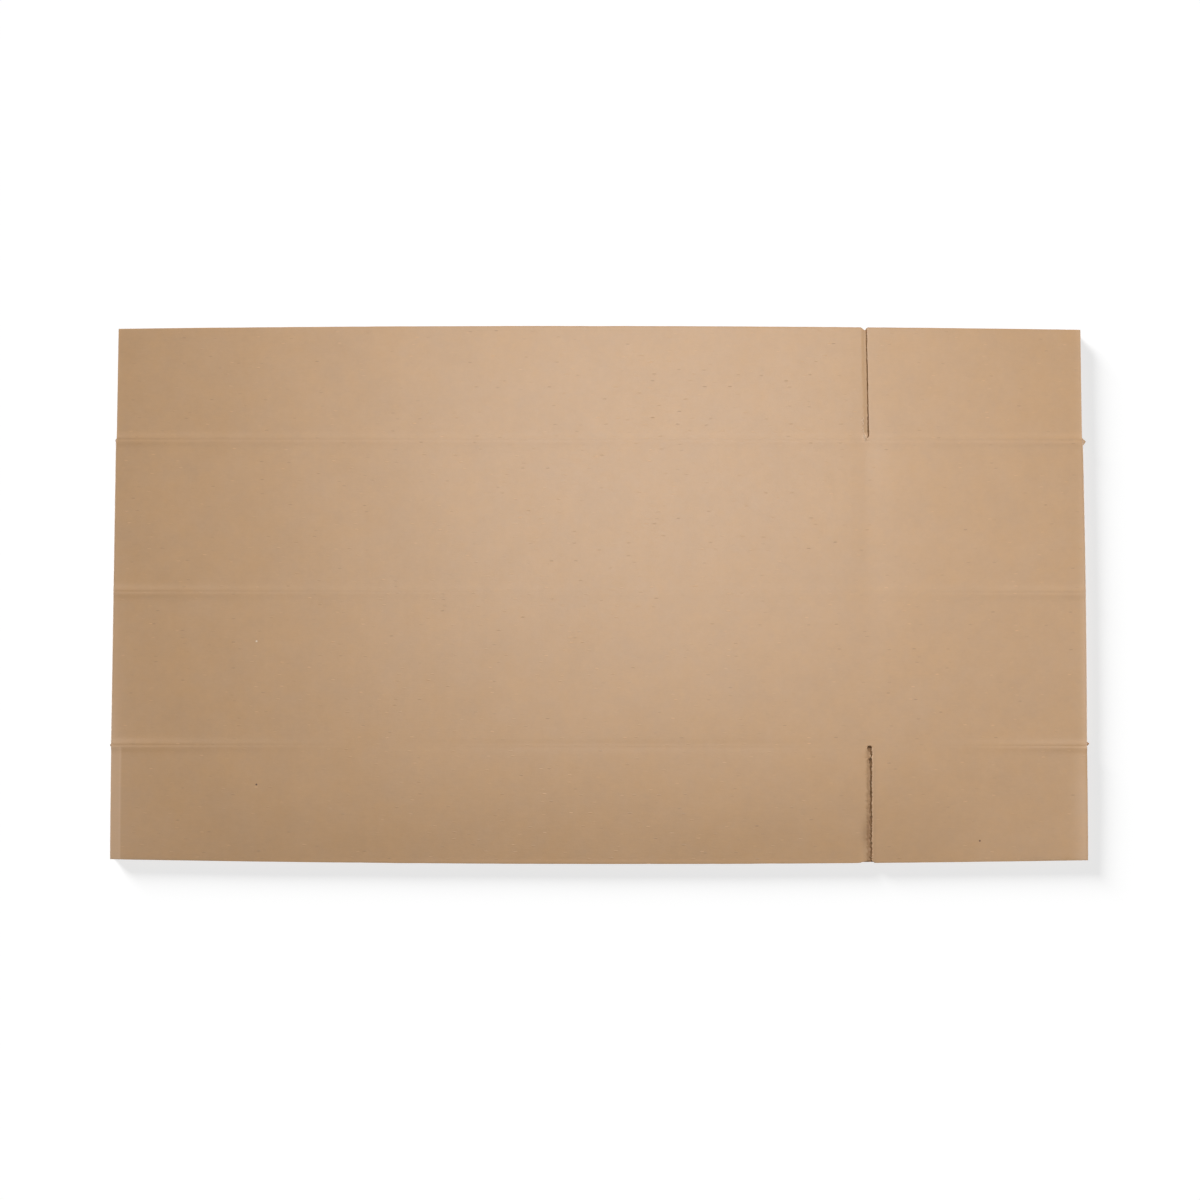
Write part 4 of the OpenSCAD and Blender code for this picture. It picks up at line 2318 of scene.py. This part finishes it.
NUBS: dict[str, TornNub] = {
    "right_top_nub": TornNub(1.0, 1.0, 2.1 * MM, 4.8 * MM, -0.8 * MM, darker=False),
    "right_bottom_nub": TornNub(1.0, -1.0, 1.5 * MM, 3.0 * MM, -1.4 * MM, darker=True),
    "left_bottom_nub": TornNub(-1.0, -1.0, 0.8 * MM, 2.0 * MM, 0.2 * MM, darker=True),
    "left_top_nub": TornNub(-1.0, 1.0, 0.5 * MM, 2.4 * MM, -0.6 * MM, darker=True),
}


@dataclass(frozen=True)
class Studio:
    """Camera, lamps, floor and surroundings."""

    camera_place: tuple[float, float, float] = (0.6 * MM, -61.5 * MM, 1099.9 * MM)
    camera_tilt: float = 2.94
    camera_roll: float = 0.06
    camera_angle: float = 40.0
    overhead_place: tuple[float, float, float] = (0.059, 0.282, 1.12)
    overhead_size: float = 0.71
    overhead_share: float = 0.771
    fill_place: tuple[float, float, float] = (0.811, -0.075, 0.965)
    fill_size: float = 0.5
    fill_share: float = 0.167
    key_height: float = 22.5
    key_share: float = 0.09
    key_bearing: float = 118.0
    shadow_share: float = 0.765
    shadow_bearing: float = 132.0
    shadow_height: float = 17.0
    key_softness: float = 20.0
    side_share: float = 0.44
    side_height: float = -22.0
    side_softness: float = 40.0
    sky_share: float = 0.035
    floor_paint: float = 0.3
    floor_white: float = 1.01
    floor_size: float = 12.0
    floor_level: float = -0.05 * MM

    def build(self) -> None:
        """Sets up everything round the carton."""
        scene = bpy.context.scene
        scene.view_settings.view_transform = "Standard"
        self._camera(scene)
        floor = self._floor(scene)
        carton_only = self._lit_list("lit_carton", floor, "EXCLUDE")
        floor_only = self._lit_list("lit_floor", floor, "INCLUDE")
        softboxes = (
            ("overhead", self.overhead_place, self.overhead_size, self.overhead_share),
            ("fill", self.fill_place, self.fill_size, self.fill_share),
        )
        for name, place, size, share in softboxes:
            self._softbox(scene, name, place, size, share, carton_only)
        keys = (
            ("key", self.key_bearing, self.key_height, self.key_share, carton_only),
            ("shadow_key", self.shadow_bearing, self.shadow_height, self.shadow_share, floor_only),
        )
        for name, bearing, height, share, lit in keys:
            energy = share * math.pi / math.sin(math.radians(height))
            self._sun(scene, name, (bearing, height), self.key_softness, energy, lit)
        # Lamps below the horizon light the sides and the underside through the floor
        for bearing in (0.0, 90.0, 180.0, 270.0):
            name, aim = f"side_{bearing:.0f}", (bearing, self.side_height)
            energy = self.side_share * math.pi
            lamp = self._sun(scene, name, aim, self.side_softness, energy, carton_only)
            lamp.light_linking.blocker_collection = carton_only
        self._sky(scene)

    def _camera(self, scene: Scene) -> None:
        """Hangs the camera over the carton, a little towards its bottom edge.

        Args:
            scene: Scene that it goes into.
        """
        data = bpy.data.cameras.new("camera")
        data.sensor_fit = "HORIZONTAL"
        data.angle = math.radians(self.camera_angle)
        camera = bpy.data.objects.new("camera", data)
        camera.location = self.camera_place
        camera.rotation_euler = (math.radians(self.camera_tilt), 0.0, math.radians(self.camera_roll))
        scene.collection.objects.link(camera)
        scene.camera = camera

    @staticmethod
    def _lit_list(name: str, floor: Object, state: str) -> Collection:
        """Makes the list that tells a lamp whether it lights the floor or all but the floor.

        Args:
            name: Name of the list.
            floor: The floor.
            state: Whether the floor is included or excluded.

        Returns:
            The list for the lamp.
        """
        group = bpy.data.collections.new(name)
        group.objects.link(floor)
        group.collection_objects[0].light_linking.link_state = state
        return group

    @staticmethod
    def _softbox(
        scene: Scene,
        name: str,
        place: tuple[float, float, float],
        size: float,
        share: float,
        lit: Collection,
    ) -> None:
        """Hangs a square soft lamp that points straight down.

        Args:
            scene: Scene that it goes into.
            name: Name of the lamp.
            place: Its middle.
            size: Its side.
            share: Its share of plain light on a level face right below it.
            lit: What it lights.
        """
        data = bpy.data.lights.new(name, "AREA")
        data.shape = "SQUARE"
        data.size = size
        data.energy = share * (math.pi * place[2]) ** 2
        lamp = bpy.data.objects.new(name, data)
        lamp.location = place
        scene.collection.objects.link(lamp)
        lamp.light_linking.receiver_collection = lit

    @staticmethod
    def _sun(
        scene: Scene,
        name: str,
        aim: tuple[float, float],
        softness: float,
        energy: float,
        lit: Collection,
    ) -> Object:
        """Sets a far lamp.

        Args:
            scene: Scene that it goes into.
            name: Name of the lamp.
            aim: Where it stands: its bearing from the right and its height, in degrees.
            softness: How wide it looks, in degrees.
            energy: Its strength.
            lit: What it lights.

        Returns:
            The lamp.
        """
        data = bpy.data.lights.new(name, "SUN")
        data.angle = math.radians(softness)
        data.energy = energy
        lamp = bpy.data.objects.new(name, data)
        bearing, height = aim
        lamp.rotation_euler = (math.radians(90 - height), 0.0, math.radians(bearing + 90))
        scene.collection.objects.link(lamp)
        lamp.light_linking.receiver_collection = lit
        return lamp

    def _sky(self, scene: Scene) -> None:
        """Gives an even, weak light from all round, white where the camera sees it.

        Args:
            scene: Scene that it goes into.
        """
        world = bpy.data.worlds.new("sky")
        world.use_nodes = True
        draft = NodeDraft(world.node_tree)
        strength = draft.spread(self._seen(draft), (0.0, 1.0), (self.sky_share, 1.0))
        light = draft.add("ShaderNodeBackground", {"Color": (1.0, 1.0, 1.0, 1.0), "Strength": strength})
        draft.add("ShaderNodeOutputWorld", {"Surface": light.outputs[0]})
        scene.world = world

    @staticmethod
    def _seen(draft: NodeDraft) -> NodeSocket:
        """Adds nodes that tell rays which show the background from those that light the carton.

        Args:
            draft: Tree being written.

        Returns:
            Socket that is 1 for rays that show the background.
        """
        rays = draft.add("ShaderNodeLightPath").outputs
        mirrored = draft.math("MAXIMUM", rays["Is Glossy Ray"], rays["Is Transmission Ray"])
        return draft.math("MAXIMUM", rays["Is Camera Ray"], mirrored)

    def _floor(self, scene: Scene) -> Object:
        """Lays a white floor that keeps the carton's shadow and can be seen through from below.

        Args:
            scene: Scene that it goes into.

        Returns:
            The floor.
        """
        half = self.floor_size / 2
        turns = ((-half, -half), (half, -half), (half, half), (-half, half))
        corners = [(x, y, self.floor_level) for x, y in turns]
        mesh = bpy.data.meshes.new("floor")
        mesh.from_pydata(corners, [], [(0, 1, 2, 3)])
        mesh.materials.append(self._floor_paint())
        floor = bpy.data.objects.new("floor", mesh)
        scene.collection.objects.link(floor)
        return floor

    def _floor_paint(self) -> Material:
        """Paints the floor: matt where the shadow falls, and white where the camera sees it.

        Returns:
            The new material.
        """
        material = bpy.data.materials.new("white_floor")
        material.use_nodes = True
        draft = NodeDraft(material.node_tree)
        paint = (self.floor_paint, self.floor_paint, self.floor_paint, 1.0)
        matt = draft.add("ShaderNodeBsdfDiffuse", {"Color": paint})
        lit = self.floor_paint * (self.shadow_share + self.sky_share)
        glow = draft.math("MULTIPLY", self._seen(draft), self.floor_white - lit)
        shine = draft.add("ShaderNodeEmission", {"Strength": glow})
        both = draft.add("ShaderNodeAddShader", {0: matt.outputs[0], 1: shine.outputs[0]})
        below = draft.add("ShaderNodeNewGeometry").outputs["Backfacing"]
        clear = draft.add("ShaderNodeBsdfTransparent")
        sided = draft.add("ShaderNodeMixShader", {0: below, 1: both.outputs[0], 2: clear.outputs[0]})
        draft.add("ShaderNodeOutputMaterial", {"Surface": sided.outputs[0]})
        return material


def main() -> None:
    """Builds the carton and the studio, and reports each piece."""
    logging.basicConfig(level=logging.INFO, format="%(name)s: %(message)s")
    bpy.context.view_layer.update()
    carton = Carton()
    pieces = [Sleeve(carton).build()]
    for layer in Layer:
        for end in End:
            for panel in Panel:
                pieces += Flap(carton, layer, end, panel).build()
    pieces += [nub.build(carton, name) for name, nub in NUBS.items()]
    for piece in pieces:
        LOGGER.info("%s has %d faces", piece.name, len(piece.data.polygons))
    Studio().build()


if __name__ == "__main__":
    main()
